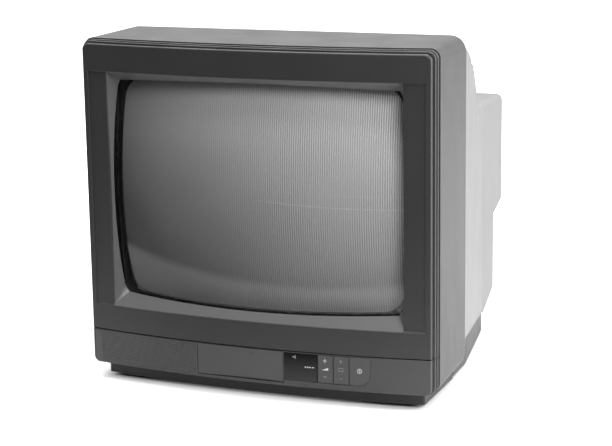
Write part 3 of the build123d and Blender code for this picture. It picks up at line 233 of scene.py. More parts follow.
def glass(name, tint, rough):
    """Tinted glass as a skin: part clear, part mirror, stronger at a glancing angle."""
    sh = new_graph(name)
    smear = sh.noise(sh.coords(), scale=14, detail=5, rough=0.6, stretch=(1, 1, 0.4))
    clear = sh.node("ShaderNodeBsdfTransparent", Color=tint).outputs[0]
    facing = sh.node("ShaderNodeLayerWeight", Blend=0.5).outputs["Facing"]
    falloff, glancing, head_on = 5.0, 0.9, 0.055
    mirror = sh.math("MULTIPLY", sh.math("POWER", facing, falloff), glancing)
    mirror = sh.math("ADD", mirror, head_on)
    # the coating is in contact with the inner face, so only the outer one mirrors
    outer = sh.math("SUBTRACT", 1.0, sh.geometry("Backfacing"))
    roughness = sh.remap(smear, span=(0.35, 0.75), to=(rough, rough + 0.012))
    glossy = sh.node("ShaderNodeBsdfGlossy", Roughness=roughness).outputs[0]
    skin = sh.node("ShaderNodeMixShader", sh.math("MULTIPLY", mirror, outer), clear, glossy)
    sh.feed(sh.tree.nodes["Material Output"], Surface=skin.outputs[0])
    sh.tree.nodes.remove(sh.tree.nodes["Principled BSDF"])
    return sh


# ------------------------------------------------------------------ single materials
def circuit_board():
    """Paper-phenolic board: fibre mottling, copper runs under the lacquer, solder dots."""
    base, run_colour, solder = (0.30, 0.20, 0.085), (0.10, 0.16, 0.06), (0.55, 0.55, 0.56)
    sh = new_graph("pcb")
    place = sh.coords()
    fibre = sh.noise(place, scale=900, detail=3, rough=0.7, stretch=(1, 0.2, 1))
    tint = sh.mix(sh.remap(fibre, span=(0.35, 0.65)), shade(base, 0.85), shade(base, 1.12))
    cells = sh.node("ShaderNodeTexVoronoi", settings={"feature": "DISTANCE_TO_EDGE"},
                    Vector=place, Scale=70.0)
    runs = sh.remap(cells.outputs["Distance"], span=(0.06, 0.09))
    run_strength, dot_strength = 0.55, 0.7
    tint = sh.mix(sh.math("MULTIPLY", runs, run_strength), tint, run_colour)
    spots = sh.node("ShaderNodeTexVoronoi", Vector=place, Scale=240.0, Randomness=0.35)
    dots = sh.remap(spots.outputs["Distance"], span=(0.16, 0.2), to=(1.0, 0.0))
    tint = sh.mix(sh.math("MULTIPLY", dots, dot_strength), tint, solder)
    sh.paint(Base_Color=tint, Roughness=sh.remap(fibre, to=(0.35, 0.5)),
             Normal=sh.bump(runs, strength=0.25, distance=0.0001))
    return sh


def winding():
    """Copper wire wound in rings round the tube's axis."""
    colour = (0.62, 0.24, 0.08)
    sh = new_graph("copper")
    place = sh.coords()
    centred = sh.node("ShaderNodeMapping", Vector=place, Location=(0, 0, -AXIS_Z * MM))
    wires = sh.node("ShaderNodeTexWave",
                    settings={"wave_type": "RINGS", "rings_direction": "Y"},
                    Vector=centred.outputs["Vector"],
                    Scale=420.0, Distortion=1.2, Detail=2.0).outputs["Fac"]
    drift = sh.noise(place, scale=40, detail=3)
    tint = sh.mix(sh.remap(wires, span=(0.1, 0.8)), shade(colour, 0.45), colour)
    tint = sh.mix(sh.remap(drift, span=(0.4, 0.7), to=(0, 0.4)), tint, shade(colour, 0.7))
    sh.paint(Base_Color=tint, Metallic=0.6, Roughness=sh.remap(drift, to=(0.28, 0.42)),
             Normal=sh.bump(wires, strength=0.6, distance=0.0003))
    return sh


def ferrite():
    """Dark sintered ferrite with lighter pits."""
    colour = (0.05, 0.048, 0.046)
    sh = new_graph("ferrite")
    place = sh.coords()
    grain = sh.noise(place, scale=700, detail=4, rough=0.7)
    pits = sh.noise(place, scale=180, detail=2, rough=0.5)
    tint = sh.mix(sh.remap(grain), shade(colour, 0.8), shade(colour, 1.35))
    tint = sh.mix(sh.remap(pits, span=(0.62, 0.7)), tint, shade(colour, 2.2))
    sh.paint(Base_Color=tint, Roughness=sh.remap(grain, to=(0.5, 0.66)),
             Normal=sh.bump(grain, strength=0.3, distance=0.0002))
    return sh


# Where each sleeve colour starts on the random value of an island, and the colour.
SLEEVES = (
    (0.0, (0.02, 0.02, 0.025)), (0.25, (0.012, 0.03, 0.085)), (0.45, (0.03, 0.03, 0.03)),
    (0.6, (0.28, 0.10, 0.02)), (0.72, (0.015, 0.055, 0.03)), (0.85, (0.02, 0.02, 0.022)),
)


def components():
    """Sleeved components: each island takes one of the sleeve colours."""
    sh = new_graph("components")
    place = sh.coords()
    sleeve = sh.node("ShaderNodeValToRGB", Fac=sh.geometry("Random Per Island"))
    sleeve.color_ramp.interpolation = "CONSTANT"
    stops = sleeve.color_ramp.elements
    for i, (start, colour) in enumerate(SLEEVES):
        stop = stops[i] if i < 2 else stops.new(start)  # a new ramp already has two stops
        stop.position = start
        stop.color = (*colour, 1)
    fine = sh.noise(place, scale=600, detail=3)
    drift = sh.noise(place, scale=60, detail=2)
    tint = sh.times(sleeve.outputs["Color"], sh.remap(drift, to=(0.8, 1.25)))
    sh.paint(Base_Color=tint, Roughness=sh.remap(fine, to=(0.28, 0.42)),
             Normal=sh.bump(fine, strength=0.1, distance=0.0001))
    return sh


def phosphor():
    """Phosphor stripes, darker towards the border, with random unevenness and painted light,
    brighter towards the upper right.
    """
    stripe_pitch = 0.0021
    wobble_phase, jag_phase = 1.4, 3.4      # how far noise shifts the stripes, in radians
    lean_z = 0.75                           # share of height in the diagonal of the painted light
    painted_light_tone = (0.34, 1.35)                # painted light: tone at the lower left and the upper right
    sh = new_graph("phosphor")
    place = sh.coords()
    x, _, z = sh.axes(place)
    z = sh.math("SUBTRACT", z, AXIS_Z * MM)
    wobble = sh.noise(place, scale=60, detail=2, rough=0.5, stretch=(0.4, 1, 1))
    jag = sh.noise(place, scale=330, detail=2, rough=0.6, stretch=(1, 1, 0.55))
    shift = sh.math("ADD", sh.math("MULTIPLY", wobble, wobble_phase),
                    sh.math("MULTIPLY", jag, jag_phase))
    phase = sh.math("ADD", sh.math("MULTIPLY", x, 2 * math.pi / stripe_pitch), shift)
    stripe = sh.math("SINE", phase)
    patches = sh.noise(place, scale=16, detail=2)
    gain = sh.math("MULTIPLY", sh.remap(x, span=(-0.085, 0.03), to=(0.02, 0.30)),
                   sh.remap(patches, span=(0.25, 0.7), to=(0.5, 1.15)))
    tone = sh.math("ADD", 1.0, sh.math("MULTIPLY", stripe, gain))
    # painted light: brighter towards the upper right and darker towards the bottom, with slow
    # random unevenness
    lean = sh.math("ADD", x, sh.math("MULTIPLY", z, lean_z))
    slow = sh.noise(place, scale=7, detail=2)
    tone = sh.math("MULTIPLY", tone,
                   sh.remap(lean, span=(-0.15, 0.16), to=painted_light_tone),
                   sh.remap(z, span=(-0.1, 0.1), to=(0.55, 1.08)),
                   sh.remap(slow, to=(0.95, 1.05)))

    # soft dark border that follows the bowed outline
    def outline(along, half):
        """Half extent, over its corner value, at a place along the other axis."""
        swell = sh.math("SUBTRACT", 1.0, sh.math("MULTIPLY", along, along))
        return sh.math("ADD", 1.0, sh.math("MULTIPLY", swell, PANEL_BULGE / half))

    up = sh.math("MULTIPLY", z, 1 / (SCREEN_HALF_H * MM))
    across = sh.math("MULTIPLY", x, 1 / (SCREEN_HALF_W * MM))
    to_right = sh.math("DIVIDE", across, outline(up, SCREEN_HALF_W))
    to_top = sh.math("DIVIDE", up, outline(across, SCREEN_HALF_H))
    # share of the way to the edge, where the border starts, tone at the edge
    for share, start, edge_tone in (
            (to_right, 0.955, 0.35),
            (to_top, 0.93, 0.35),
            (sh.math("MULTIPLY", to_right, -1.0), 0.982, 0.3),
            (sh.math("MULTIPLY", to_top, -1.0), 0.975, 0.3)):
        tone = sh.math("MULTIPLY", tone,
                       sh.remap(share, span=(start, 0.998), to=(1.0, edge_tone)))
    sh.paint(Base_Color=sh.times(grey(0.60), tone), Specular_IOR_Level=0.1,
             Normal=sh.bump(jag, strength=0.1, distance=0.0001),
             Roughness=sh.remap(jag, to=(0.75, 0.9)))
    return sh


def window():
    """Glossy dark acrylic that reflects less towards its top."""
    sh = plastic("window_acrylic", grey(0.008), rough=0.07, grain=1500, grain_bump=0.01,
                 vary=0.15, dust=0.10, edge=0.2, swirl=0.03)
    height = sh.axes(sh.coords())[2]
    sh.paint(Specular_IOR_Level=sh.remap(height, span=(0.024, 0.047), to=(0.60, 0.06)))
    return sh


def cabinet():
    """Grained front; smoother walls round the tube with painted light on them; painted shade in
    the seam and grooves.
    """
    sh = plastic("cabinet", grey(0.043), rough=0.43, grain=1300, grain_bump=0.16,
                 vary=0.07, dust=0.10, edge=0.8)
    recess_mid_z, recess_lit_colour, recess_smoother = 0.1888, grey(0.17), 0.08
    strip_brighter = grey(1.55)
    seam_z, groove_x, groove_z = 0.05060, 0.1711, 0.3264
    seam_half, groove_half = 0.00052, 0.0003
    groove_shade_colour = grey(0.004)
    x, y, z = sh.axes(sh.coords())

    def below(value, full, none):
        return sh.remap(value, span=(full, none), to=(1.0, 0.0))

    def in_front(full, none):
        return below(y, full + FRONT_Y, none + FRONT_Y)

    def distance(value, centre):
        return sh.math("ABSOLUTE", sh.math("SUBTRACT", value, centre))

    def around(value, centre, half):
        return below(distance(value, centre), half, half * 1.2)

    def turned(component):
        """Faces whose normal leans towards an axis, either way."""
        return sh.remap(sh.math("ABSOLUTE", component), span=(0.5, 0.6))

    from_middle = sh.math("ABSOLUTE", x)
    inside = sh.math("MULTIPLY", below(from_middle, 0.1466, 0.1470),
                     below(distance(z, recess_mid_z), 0.1130, 0.1134),
                     in_front(0.021, 0.022))
    # a lighter strip along the foot of the front
    tint = sh.painted("Base Color")
    strip = sh.math("MULTIPLY", below(z, 0.0503, 0.0507), in_front(0.003, 0.004))
    tint = sh.mix(strip, tint, sh.times(tint, strip_brighter))
    # painted light: the walls round the tube made lighter than the front
    tint = sh.mix(inside, tint, recess_lit_colour)

    normal_x, _, normal_z = sh.axes(sh.geometry("True Normal"))
    forward = in_front(0.016, 0.0165)
    # painted shade: the seam and grooves darkened to near black
    seam = sh.math("MULTIPLY", around(z, seam_z, seam_half), forward)
    side = sh.math("MULTIPLY", around(from_middle, groove_x, groove_half), turned(normal_x))
    over = sh.math("MULTIPLY", around(z, groove_z, groove_half), turned(normal_z))
    grooves = sh.math("MULTIPLY", sh.math("MAXIMUM", side, over), forward)
    groove_shade = sh.math("MAXIMUM", seam, grooves)
    sh.paint(Base_Color=sh.mix(groove_shade, tint, groove_shade_colour),
             Roughness=sh.math("SUBTRACT", sh.painted("Roughness"),
                               sh.math("MULTIPLY", inside, recess_smoother)))
    return sh


# ------------------------------------------------------------------ materials by slot
# name, colour, roughness, grain scale, grain bump, colour drift, dust,
# rounding of edges in mm, which also sets a painted highlight along them, swing of roughness in
# patches of rubbing
PLASTICS = (
    ("charcoal_plastic", grey(0.052), 0.43, 1300, 0.16, 0.07, 0.10, 0.5),
    ("strip_plastic", grey(0.085), 0.42, 1700, 0.08, 0.05, 0.06, 0.35),
    ("key_plastic", grey(0.080), 0.40, 1900, 0.06, 0.05, 0.05, 0.25),
    ("cover_plastic", grey(0.20), 0.55, 800, 0.30, 0.07, 0.12, 0.6),
    # takes the plain name, so that window() below is numbered .001
    ("window_acrylic", grey(0.012), 0.07, 1500, 0.01, 0.15, 0.10, 0.2, 0.03),
    ("black_plastic", grey(0.022), 0.42, 1100, 0.12, 0.12, 0.15),
    ("white_plastic", (0.62, 0.60, 0.54), 0.42, 1000, 0.08, 0.05, 0.0),
    ("funnel_coating", grey(0.045), 0.62, 500, 0.25, 0.25, 0.0, 0.0, 0.12),
    ("rubber", grey(0.02), 0.62, 700, 0.2, 0.15, 0.25, 0.0, 0.1),
    ("cone_paper", grey(0.03), 0.85, 380, 0.5, 0.25, 0.1),
    ("lead_red", (0.30, 0.02, 0.015), 0.4, 900, 0.06, 0.1, 0.0),
    ("black_matrix", grey(0.006), 0.5, 900, 0.02, 0.2, 0.0),
    ("print_white", (0.80, 0.80, 0.79), 0.5, 1500, 0.02, 0.05, 0.0),
    ("print_grey", grey(0.30), 0.5, 1500, 0.02, 0.05, 0.0),
    ("print_dark", grey(0.02), 0.5, 1500, 0.02, 0.05, 0.0),
    ("label_paper", (0.55, 0.55, 0.53), 0.6, 600, 0.05, 0.06, 0.0),
    ("tray", grey(0.026), 0.48, 1000, 0.2, 0.1, 0.1, 0.4),
)
# name, colour, roughness, stretch of the brushing, rust
METALS = (
    ("steel", (0.60, 0.60, 0.61), 0.34, (0.15, 1, 1), 0.15),
    ("dark_steel", grey(0.09), 0.5, (1, 1, 1), 0.1),
    ("aluminium", (0.78, 0.78, 0.79), 0.32, (0.05, 1, 1), 0.0),
)
# name, tint, roughness
GLASSES = (
    ("panel_glass", grey(0.93), 0.006),
    ("clear_glass", (0.85, 0.9, 0.88), 0.02),
)

graphs = {}
for make, rows in ((plastic, PLASTICS), (metal, METALS), (glass, GLASSES)):
    graphs.update({row[0]: make(*row) for row in rows})
graphs.update(ferrite=ferrite(), copper=winding(), pcb=circuit_board(),
              components=components(), window_acrylic=window(), phosphor=phosphor(),
              cabinet=cabinet())
MATERIALS = {name: graph.owner for name, graph in graphs.items()}

material_of = {s["node"]: s["material_slot"] for s in frame["record"]["subparts"]}
material_of.update(front_cabinet="cabinet", base_tray="tray")
for name, ob in frame["nodes"].items():
    ob.data.materials.clear()
    ob.data.materials.append(MATERIALS[material_of[name]])


# ------------------------------------------------------------------ mesh helpers
def add_object(name, data):
    ob = bpy.data.objects.new(name, data)
    bpy.context.scene.collection.objects.link(ob)
    return ob


def piece(name, verts, faces, materials, body, crease=None, replaces=None):
    """A mesh from points in mm; crease smooths it but for edges above that many degrees."""
    mesh = bpy.data.meshes.new(name)
    mesh.from_pydata([(x * MM, y * MM + FRONT_Y, z * MM) for x, y, z in verts], [], faces)
    mesh.validate()
    ob = add_object(name, mesh)
    for material in materials:
        mesh.materials.append(MATERIALS[material])
    mesh.update()
    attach(ob, body)
    if crease:
        mesh.polygons.foreach_set("use_smooth", [True] * len(mesh.polygons))
        mesh.set_sharp_from_angle(angle=math.radians(crease))
    if replaces:
        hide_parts(replaces)
    return ob


# ------------------------------------------------------------------ tube
CORNER_STEPS = 14
SIDE_STEPS = 34
QUARTER = math.pi / 2


def rounded_loop(half_w, half_h, radius):
    """Points (x, z) from the tube's axis, round a bulging rectangle with rounded corners."""
    signs = ((1, 1), (-1, 1), (-1, -1), (1, -1))

    def on_corner(corner, angle):
        sign_x, sign_z = signs[corner % 4]
        return (sign_x * (half_w - radius) + radius * math.cos(angle),
                sign_z * (half_h - radius) + radius * math.sin(angle))

    points = []
    for i in range(4):
        start = QUARTER * i
        for k in range(CORNER_STEPS + 1):
            points.append(on_corner(i, start + QUARTER * k / CORNER_STEPS))
        x0, z0 = points[-1]
        x1, z1 = on_corner(i + 1, start + QUARTER)
        for k in range(1, SIDE_STEPS):
            t = k / SIDE_STEPS
            points.append((x0 + (x1 - x0) * t, z0 + (z1 - z0) * t))
    return [(x * (1 + PANEL_BULGE / half_w * max(0, 1 - (z / half_h) ** 2)),
             z * (1 + PANEL_BULGE / half_h * max(0, 1 - (x / half_w) ** 2)))
            for x, z in points]


def dome(radius, x, z):
    """The y of a sphere that shares its centre with the outer glass."""
    return GLASS_APEX + GLASS_R - math.sqrt(radius ** 2 - x * x - z * z)


class Shell:
    """Points and faces made ring by ring; x and z count from the tube's axis."""

    def __init__(self):
        self.verts = []
        self.faces = []

    def add_face(self, face, flip):
        self.faces.append(face[::-1] if flip else face)

    def ring(self, points):
        first = len(self.verts)
        self.verts += [(x, y, AXIS_Z + z) for x, y, z in points]
        return list(range(first, len(self.verts)))

    def bridge(self, a, b, flip=False):
        for k in range(len(a)):
            after = (k + 1) % len(a)
            self.add_face((a[k], a[after], b[after], b[k]), flip)

    def cap(self, loop, radius, steps, flip=False):
        """A domed cap inside loop; returns its edge ring."""
        centre, = self.ring([(0, dome(radius, 0, 0), 0)])
        rings = []
        for step in range(1, steps + 1):
            s = step / steps
            rings.append(self.ring([(x * s, dome(radius, x * s, z * s), z * s)
                                    for x, z in loop]))
        count = len(loop)
        for k in range(count):
            self.add_face((centre, rings[0][k], rings[0][(k + 1) % count]), flip)
        for a, b in zip(rings, rings[1:]):
            for k in range(count):
                after = (k + 1) % count
                self.add_face((a[k], b[k], b[after], a[after]), flip)
        return rings[-1]


def build_faceplate():
    shell = Shell()
    outer = rounded_loop(PANEL_HALF_W, PANEL_HALF_H, PANEL_CORNER_R)
    inner = rounded_loop(PANEL_HALF_W - RIM_INSET, PANEL_HALF_H - RIM_INSET,
                         PANEL_CORNER_R - 7)
    front_scale = 0.992
    ring = shell.cap([(x * front_scale, z * front_scale) for x, z in outer], GLASS_R, 44)
    # rounded front edge: scale of the outline, set-back from the dome
    for scale, back in ((0.997, 0.9), (1.0, 2.6)):
        rim = shell.ring([(x * scale, dome(GLASS_R, x, z) + back, z * scale)
                          for x, z in outer])
        shell.bridge(ring, rim, flip=True)
        ring = rim
    for loop in (outer, inner):
        rim = shell.ring([(x, SEAL_Y, z) for x, z in loop])
        shell.bridge(ring, rim, flip=True)
        ring = rim
    inner_edge = shell.cap(inner, GLASS_R - GLASS_T, 30, flip=True)
    shell.bridge(ring, inner_edge, flip=True)
    piece("faceplate_glass", shell.verts, shell.faces, ["panel_glass"], "root",
          crease=50, replaces="crt_faceplate")


def build_screen():
    """Thin coating just behind the glass, with a black back and outermost front band."""
    shell = Shell()
    front_gap, back_gap = 0.05, 0.3
    loop = rounded_loop(SCREEN_HALF_W, SCREEN_HALF_H, PANEL_CORNER_R - 8)
    front_edge = shell.cap(loop, GLASS_R - GLASS_T - front_gap, 90)
    lit_faces = len(shell.faces) - 2 * len(loop)
    back_edge = shell.cap(loop, GLASS_R - GLASS_T - back_gap, 6, flip=True)
    shell.bridge(front_edge, back_edge, flip=True)
    ob = piece("phosphor_layer", shell.verts, shell.faces, ["phosphor", "black_matrix"],
               "root", crease=40, replaces="phosphor_screen")
    polygons = ob.data.polygons
    polygons.foreach_set("material_index",
                         [0 if i < lit_faces else 1 for i in range(len(polygons))])


build_faceplate()
build_screen()

# ------------------------------------------------------------------ speaker grille
GRILLE_COLUMNS = 88
GRILLE_ROWS = 24
GRILLE_T = 2.0
GRILLE_INSET = 0.1      # behind the bowed front
GRILLE_CORNER_R = 4.4   # bottom left corner
GRILLE_EASE = 0.35      # width and depth of the eased front edge
HOLE_R = 0.53
BLANK_LEFT = 7.5        # plain margin at the left
BLANK_MARGIN = 1.3      # plain margin on the other sides


def build_grille():
    """A plate bent to the front, with round holes in every other cell like a chessboard."""
    lo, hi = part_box("speaker_grille")
    x0, x1, z0, z1 = lo.x / MM, hi.x / MM, lo.z / MM, hi.z / MM
    pitch_x, pitch_z = (x1 - x0) / GRILLE_COLUMNS, (z1 - z0) / GRILLE_ROWS
    corner_x, corner_z = x0 + GRILLE_CORNER_R, z0 + GRILLE_CORNER_R
    verts, faces, index = [], [], {}

    def place(x, z, layer):
        if x < corner_x and z < corner_z:
            # draw the square corner in to a round one
            dx, dz = x - corner_x, z - corner_z
            reach = max(abs(dx), abs(dz))
            if reach > 1e-6:
                k = reach / math.hypot(dx, dz)
                x, z = corner_x + dx * k, corner_z + dz * k
        if layer:
            depth = GRILLE_T
        else:
            edge = min(x - x0, x1 - x, z - z0, z1 - z)
            depth = GRILLE_EASE * max(0.0, 1 - edge / GRILLE_EASE)
        return (x, bow(x) + GRILLE_INSET + depth, z)

    def vert(x, z, layer):
        """Index of the shared point; layer 0 is the front and 1 the back."""
        key = (round(x, 3), round(z, 3), layer)
        if key not in index:
            index[key] = len(verts)
            verts.append(place(x, z, layer))
        return index[key]

    def add_face(face, layer):
        faces.append(face[::-1] if layer else face)

    def add_cell(i, j):
        left, right = x0 + i * pitch_x, x0 + (i + 1) * pitch_x
        low, high = z0 + j * pitch_z, z0 + (j + 1) * pitch_z
        mid_x, mid_z = (left + right) / 2, (low + high) / 2
        rim = ((left, low), (mid_x, low), (right, low), (right, mid_z),
               (right, high), (mid_x, high), (left, high), (left, mid_z))
        holed = ((i + j) % 2 == 0
                 and x0 + BLANK_LEFT < mid_x < x1 - BLANK_MARGIN
                 and z0 + BLANK_MARGIN < mid_z < z1 - BLANK_MARGIN)
        holes = []
        for layer in (0, 1):
            outer = [vert(x, z, layer) for x, z in rim]
            if not holed:
                add_face(outer, layer)
                continue
            hole = []
            for x, z in rim:
                angle = math.atan2(z - mid_z, x - mid_x)
                hole.append(vert(mid_x + HOLE_R * math.cos(angle),
                                 mid_z + HOLE_R * math.sin(angle), layer))
            for k in range(8):
                after = (k + 1) % 8
                add_face((outer[k], outer[after], hole[after], hole[k]), layer)
            holes.append(hole)
        if holed:
            front, back = holes
            for k in range(8):
                after = (k + 1) % 8
                faces.append((front[k], front[after], back[after], back[k]))

    for i in range(GRILLE_COLUMNS):
        for j in range(GRILLE_ROWS):
            add_cell(i, j)

    # outer wall
    columns, rows = range(2 * GRILLE_COLUMNS), range(2 * GRILLE_ROWS)
    edge = [(x0 + i * pitch_x / 2, z0) for i in columns]
    edge += [(x1, z0 + j * pitch_z / 2) for j in rows]
    edge += [(x1 - i * pitch_x / 2, z1) for i in columns]
    edge += [(x0, z1 - j * pitch_z / 2) for j in rows]
    for p, q in zip(edge, edge[1:] + edge[:1]):
        faces.append((vert(*p, 1), vert(*q, 1), vert(*q, 0), vert(*p, 0)))
    piece("grille_mesh", verts, faces, ["strip_plastic"], "root",
          crease=40, replaces="speaker_grille")


build_grille()


# ------------------------------------------------------------------ printed marks
PRINT_T = 0.05          # how far print stands forward
PRINT_SUNK = 0.03       # how far it reaches in


def bar(centre_x, centre_z, width, height):
    left, right = centre_x - width / 2, centre_x + width / 2
    low, high = centre_z - height / 2, centre_z + height / 2
    return [(left, low), (right, low), (right, high), (left, high)]


def circle_band(centre_x, centre_z, inner, outer, steps):
    """A flat ring as a list of quads."""
    def point(radius, step):
        angle = math.radians(360 * step / steps)
        return (centre_x + radius * math.cos(angle), centre_z + radius * math.sin(angle))

    return [[point(inner, k), point(outer, k), point(outer, k + 1), point(inner, k + 1)]
            for k in range(steps)]


def mark(name, offset, material, body, shapes):
    """Convex outlines of (x, z) laid as thin print, offset back from the bowed front."""
    verts, faces = [], []
    for outline in shapes:
        count = len(outline)
        base = len(verts)
        for shift in (-PRINT_T, PRINT_SUNK):
            verts += [(x, bow(x) + offset + shift, z) for x, z in outline]
        faces.append(tuple(range(base, base + count)))
        faces.append(tuple(range(base + 2 * count - 1, base + count - 1, -1)))
        for k in range(count):
            after = (k + 1) % count
            faces.append((base + k, base + count + k, base + count + after, base + after))
    piece(name, verts, faces, [material], body)


# name, offset, material, body, outlines
MARKS = (
    ("volume_plus", 0.25, "print_white", "volume_key",
     [bar(73.9, 43.9, 3.6, 0.55), bar(73.9, 45.0, 0.55, 1.65), bar(73.9, 42.8, 0.55, 1.65)]),
    ("volume_wedge", 0.25, "print_white", "volume_key",
     [[(70.9, 34.9), (77.0, 34.9), (77.0, 37.4)]]),
    ("volume_minus", 0.25, "print_grey", "volume_key", [bar(74.0, 28.6, 3.4, 0.7)]),
    ("programme_plus", 0.25, "print_grey", "programme_key",
     [bar(89.1, 44.2, 3.0, 0.6), bar(89.1, 45.25, 0.6, 1.3), bar(89.1, 43.15, 0.6, 1.3)]),
    ("programme_screen", 0.25, "print_grey", "programme_key",
     [bar(89.1, 37.9, 4.4, 0.45), bar(89.1, 34.9, 4.4, 0.45),
      bar(87.1, 36.4, 0.45, 2.6), bar(91.1, 36.4, 0.45, 2.6)]),
    ("programme_minus", 0.25, "print_grey", "programme_key", [bar(89.2, 27.9, 2.8, 0.55)]),
    ("power_mark", 0.2, "print_white", "standby_key",
     circle_band(106.7, 36.4, inner=1.75, outer=2.25, steps=30)
     + [bar(106.7, 36.4, 0.55, 2.4)]),
    ("mute_mark", 0.35, "print_grey", "root",
     [bar(43.2, 45.4, 1.1, 1.5), [(43.9, 44.9), (45.6, 43.5), (45.6, 47.3), (43.9, 45.9)]]),
    ("lamp_mark", 0.35, "print_white", "root",
     [bar(55.0, 36.4, 1.2, 1.2), bar(57.2, 36.4, 1.2, 1.2), bar(59.4, 36.4, 1.2, 1.2),
      bar(62.4, 36.4, 2.4, 0.6)]),
    ("flap_mark", 0.15, "print_dark", "flap",
     [bar(1.3, 45.6, 1.9, 0.5), bar(1.3, 44.5, 1.1, 0.5)]),
)
for row in MARKS:
    mark(*row)


def build_blank_plate():
    """Blank rating plate on the rear wall."""
    wall_y, proud, sunk = 325.0, 0.35, 0.05
    outline = bar(-40, 98, width=76, height=26)
    verts = [(x, y, z) for y in (wall_y + proud, wall_y - sunk) for x, z in outline]
    faces = [(3, 2, 1, 0), (4, 5, 6, 7), (0, 1, 5, 4), (1, 2, 6, 5), (2, 3, 7, 6), (3, 0, 4, 7)]
    piece("blank_plate", verts, faces, ["label_paper"], "root")


build_blank_plate()


# ------------------------------------------------------------------ floor
def floor_material():
    """White table that glows away from the set; to all rays but the camera's it is dark in
    front of the set, as painted shade that cuts its bounce light.
    """
    set_half_x, set_mid_y, set_half_y = 0.158, 0.145, 0.135
    line_half = 0.012
    sh = new_graph("floor_white")
    place = sh.coords()
    rays = sh.node("ShaderNodeLightPath").outputs
    x, y, _ = sh.axes(place)
    y = sh.math("SUBTRACT", y, FRONT_Y)
    base = sh.mix(sh.remap(sh.noise(place, scale=3, detail=3)), grey(0.86), grey(0.90))
    # painted shade: the table in front of the set made dark to all but camera rays, so it sends
    # less bounce light
    dark = sh.math("MULTIPLY", sh.remap(y, span=(-0.205, -0.175), to=(1.0, 0.0)),
                   sh.math("SUBTRACT", 1.0, rays["Is Camera Ray"]))

    # glow by distance outside the footprint of the set
    beyond_x = sh.math("SUBTRACT", sh.math("ABSOLUTE", x), set_half_x)
    from_mid_y = sh.math("ABSOLUTE", sh.math("SUBTRACT", y, set_mid_y))
    away = sh.math("MAXIMUM", beyond_x, sh.math("SUBTRACT", from_mid_y, set_half_y))
    glow = sh.math("ADD", sh.remap(away, span=(-0.004, 0.014), to=(0.0, 0.45)),
                   sh.remap(away, span=(0.05, 0.55), to=(0.0, 0.7)))
    glow = sh.math("MULTIPLY", glow, rays["Is Camera Ray"])

    # bright lines seen only in reflections: y at x = 0, slope, strength
    for start_y, slope, power in ((-0.84, 0.115, 1.5), (-1.13, 0.10, 0.8)):
        line_y = sh.math("ADD", sh.math("MULTIPLY", x, slope), start_y)
        distance = sh.math("ABSOLUTE", sh.math("SUBTRACT", y, line_y))
        near = sh.math("MULTIPLY",
                       sh.remap(distance, span=(line_half * 0.5, line_half), to=(1.0, 0.0)),
                       sh.remap(x, span=(-0.38, -0.28), to=(0.0, power)),
                       rays["Is Glossy Ray"])
        glow = sh.math("ADD", glow, near)
    sh.paint(Base_Color=sh.mix(dark, base, grey(0.06)), Roughness=0.7,
             Specular_IOR_Level=0.1, Emission_Color=grey(1), Emission_Strength=glow)
    return sh.owner


def build_floor():
    mesh = bpy.data.meshes.new("floor")
    mesh.from_pydata([(-6, -5, 0), (6, -5, 0), (6, 7, 0), (-6, 7, 0)], [], [(0, 1, 2, 3)])
    floor = add_object("floor", mesh)
    mesh.materials.append(floor_material())


build_floor()


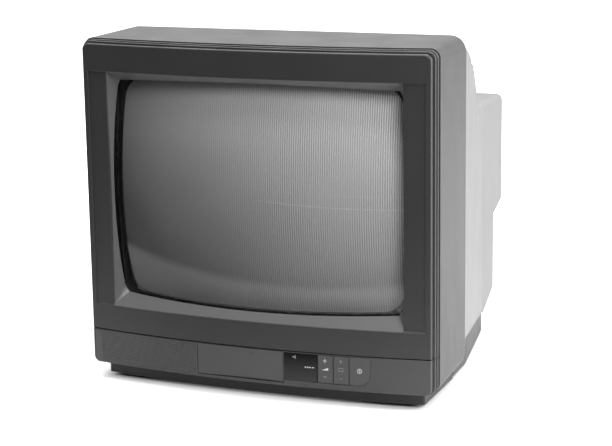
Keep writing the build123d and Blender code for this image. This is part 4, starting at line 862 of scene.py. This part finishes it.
# ------------------------------------------------------------------ world, lights, camera
def build_world():
    """Plain white to the camera; as light, dim in front (-y) and brighter behind."""
    dim, bright = 0.10, 0.85
    world = bpy.data.worlds.new("studio")
    bpy.context.scene.world = world
    sh = Graph(world)
    direction = sh.node("ShaderNodeTexCoord").outputs["Generated"]
    strength = sh.remap(sh.axes(direction)[1], span=(-0.35, 0.85), to=(dim, bright))
    lighting = sh.tree.nodes["Background"]
    sh.feed(lighting, Color=grey(1), Strength=strength)
    backdrop = sh.node("ShaderNodeBackground", Color=grey(1), Strength=1.0)
    camera_ray = sh.node("ShaderNodeLightPath").outputs["Is Camera Ray"]
    mixed = sh.node("ShaderNodeMixShader", camera_ray, lighting.outputs[0],
                    backdrop.outputs[0])
    sh.feed(sh.tree.nodes["World Output"], Surface=mixed.outputs[0])


build_world()

# name, place, point it faces, width, height, watts; y counts from FRONT_Y
LIGHTS = (
    ("side_light", (2.1, 1.25, 0.95), (0.1, 0.2, 0.18), 1.6, 1.6, 74),
    ("top_light", (-0.1, 1.15, 2.1), (0, 0.15, 0.3), 2.2, 1.3, 44),
    ("front_light", (1.0, -1.25, 1.25), (0.05, 0, 0.2), 0.7, 0.6, 20),
    ("high_light", (0.35, -0.60, 1.85), (0.03, 0, 0.12), 1.0, 0.6, 15),
    ("left_light", (-1.7, 0.7, 1.0), (-0.1, 0.15, 0.2), 1.0, 1.2, 8),
)
for name, place, target, width, height, power in LIGHTS:
    light = bpy.data.lights.new(name, "AREA")
    light.shape = "RECTANGLE"
    light.size = width
    light.size_y = height
    light.energy = power
    ob = add_object(name, light)
    ob.location = (place[0], place[1] + FRONT_Y, place[2])
    ob.rotation_euler = (Vector(target) - Vector(place)).to_track_quat("-Z", "Y").to_euler()

CAMERA_PLACE = (0.64454, -1.4703 + FRONT_Y, 0.51887)
YAW = math.radians(21.931)      # turned to the left of +y
PITCH = math.radians(12.423)    # tilted down
ROLL = math.radians(-0.843)


def build_camera():
    forward = Vector((-math.sin(YAW) * math.cos(PITCH), math.cos(YAW) * math.cos(PITCH),
                      -math.sin(PITCH)))
    level = Vector((math.cos(YAW), math.sin(YAW), 0))
    upright = level.cross(forward)
    right = math.cos(ROLL) * level + math.sin(ROLL) * upright
    up = -math.sin(ROLL) * level + math.cos(ROLL) * upright
    camera = bpy.data.cameras.new("camera")
    camera.sensor_fit = "HORIZONTAL"
    camera.sensor_width = 36.0
    camera.lens = 104.5352941
    ob = bpy.data.objects.new("camera", camera)
    pose = Matrix((right, up, -forward)).transposed().to_4x4()
    pose.translation = CAMERA_PLACE
    ob.matrix_world = pose
    bpy.context.scene.collection.objects.link(ob)
    bpy.context.scene.camera = ob


build_camera()
bpy.context.scene.view_settings.view_transform = "Standard"

bpy.context.view_layer.update()
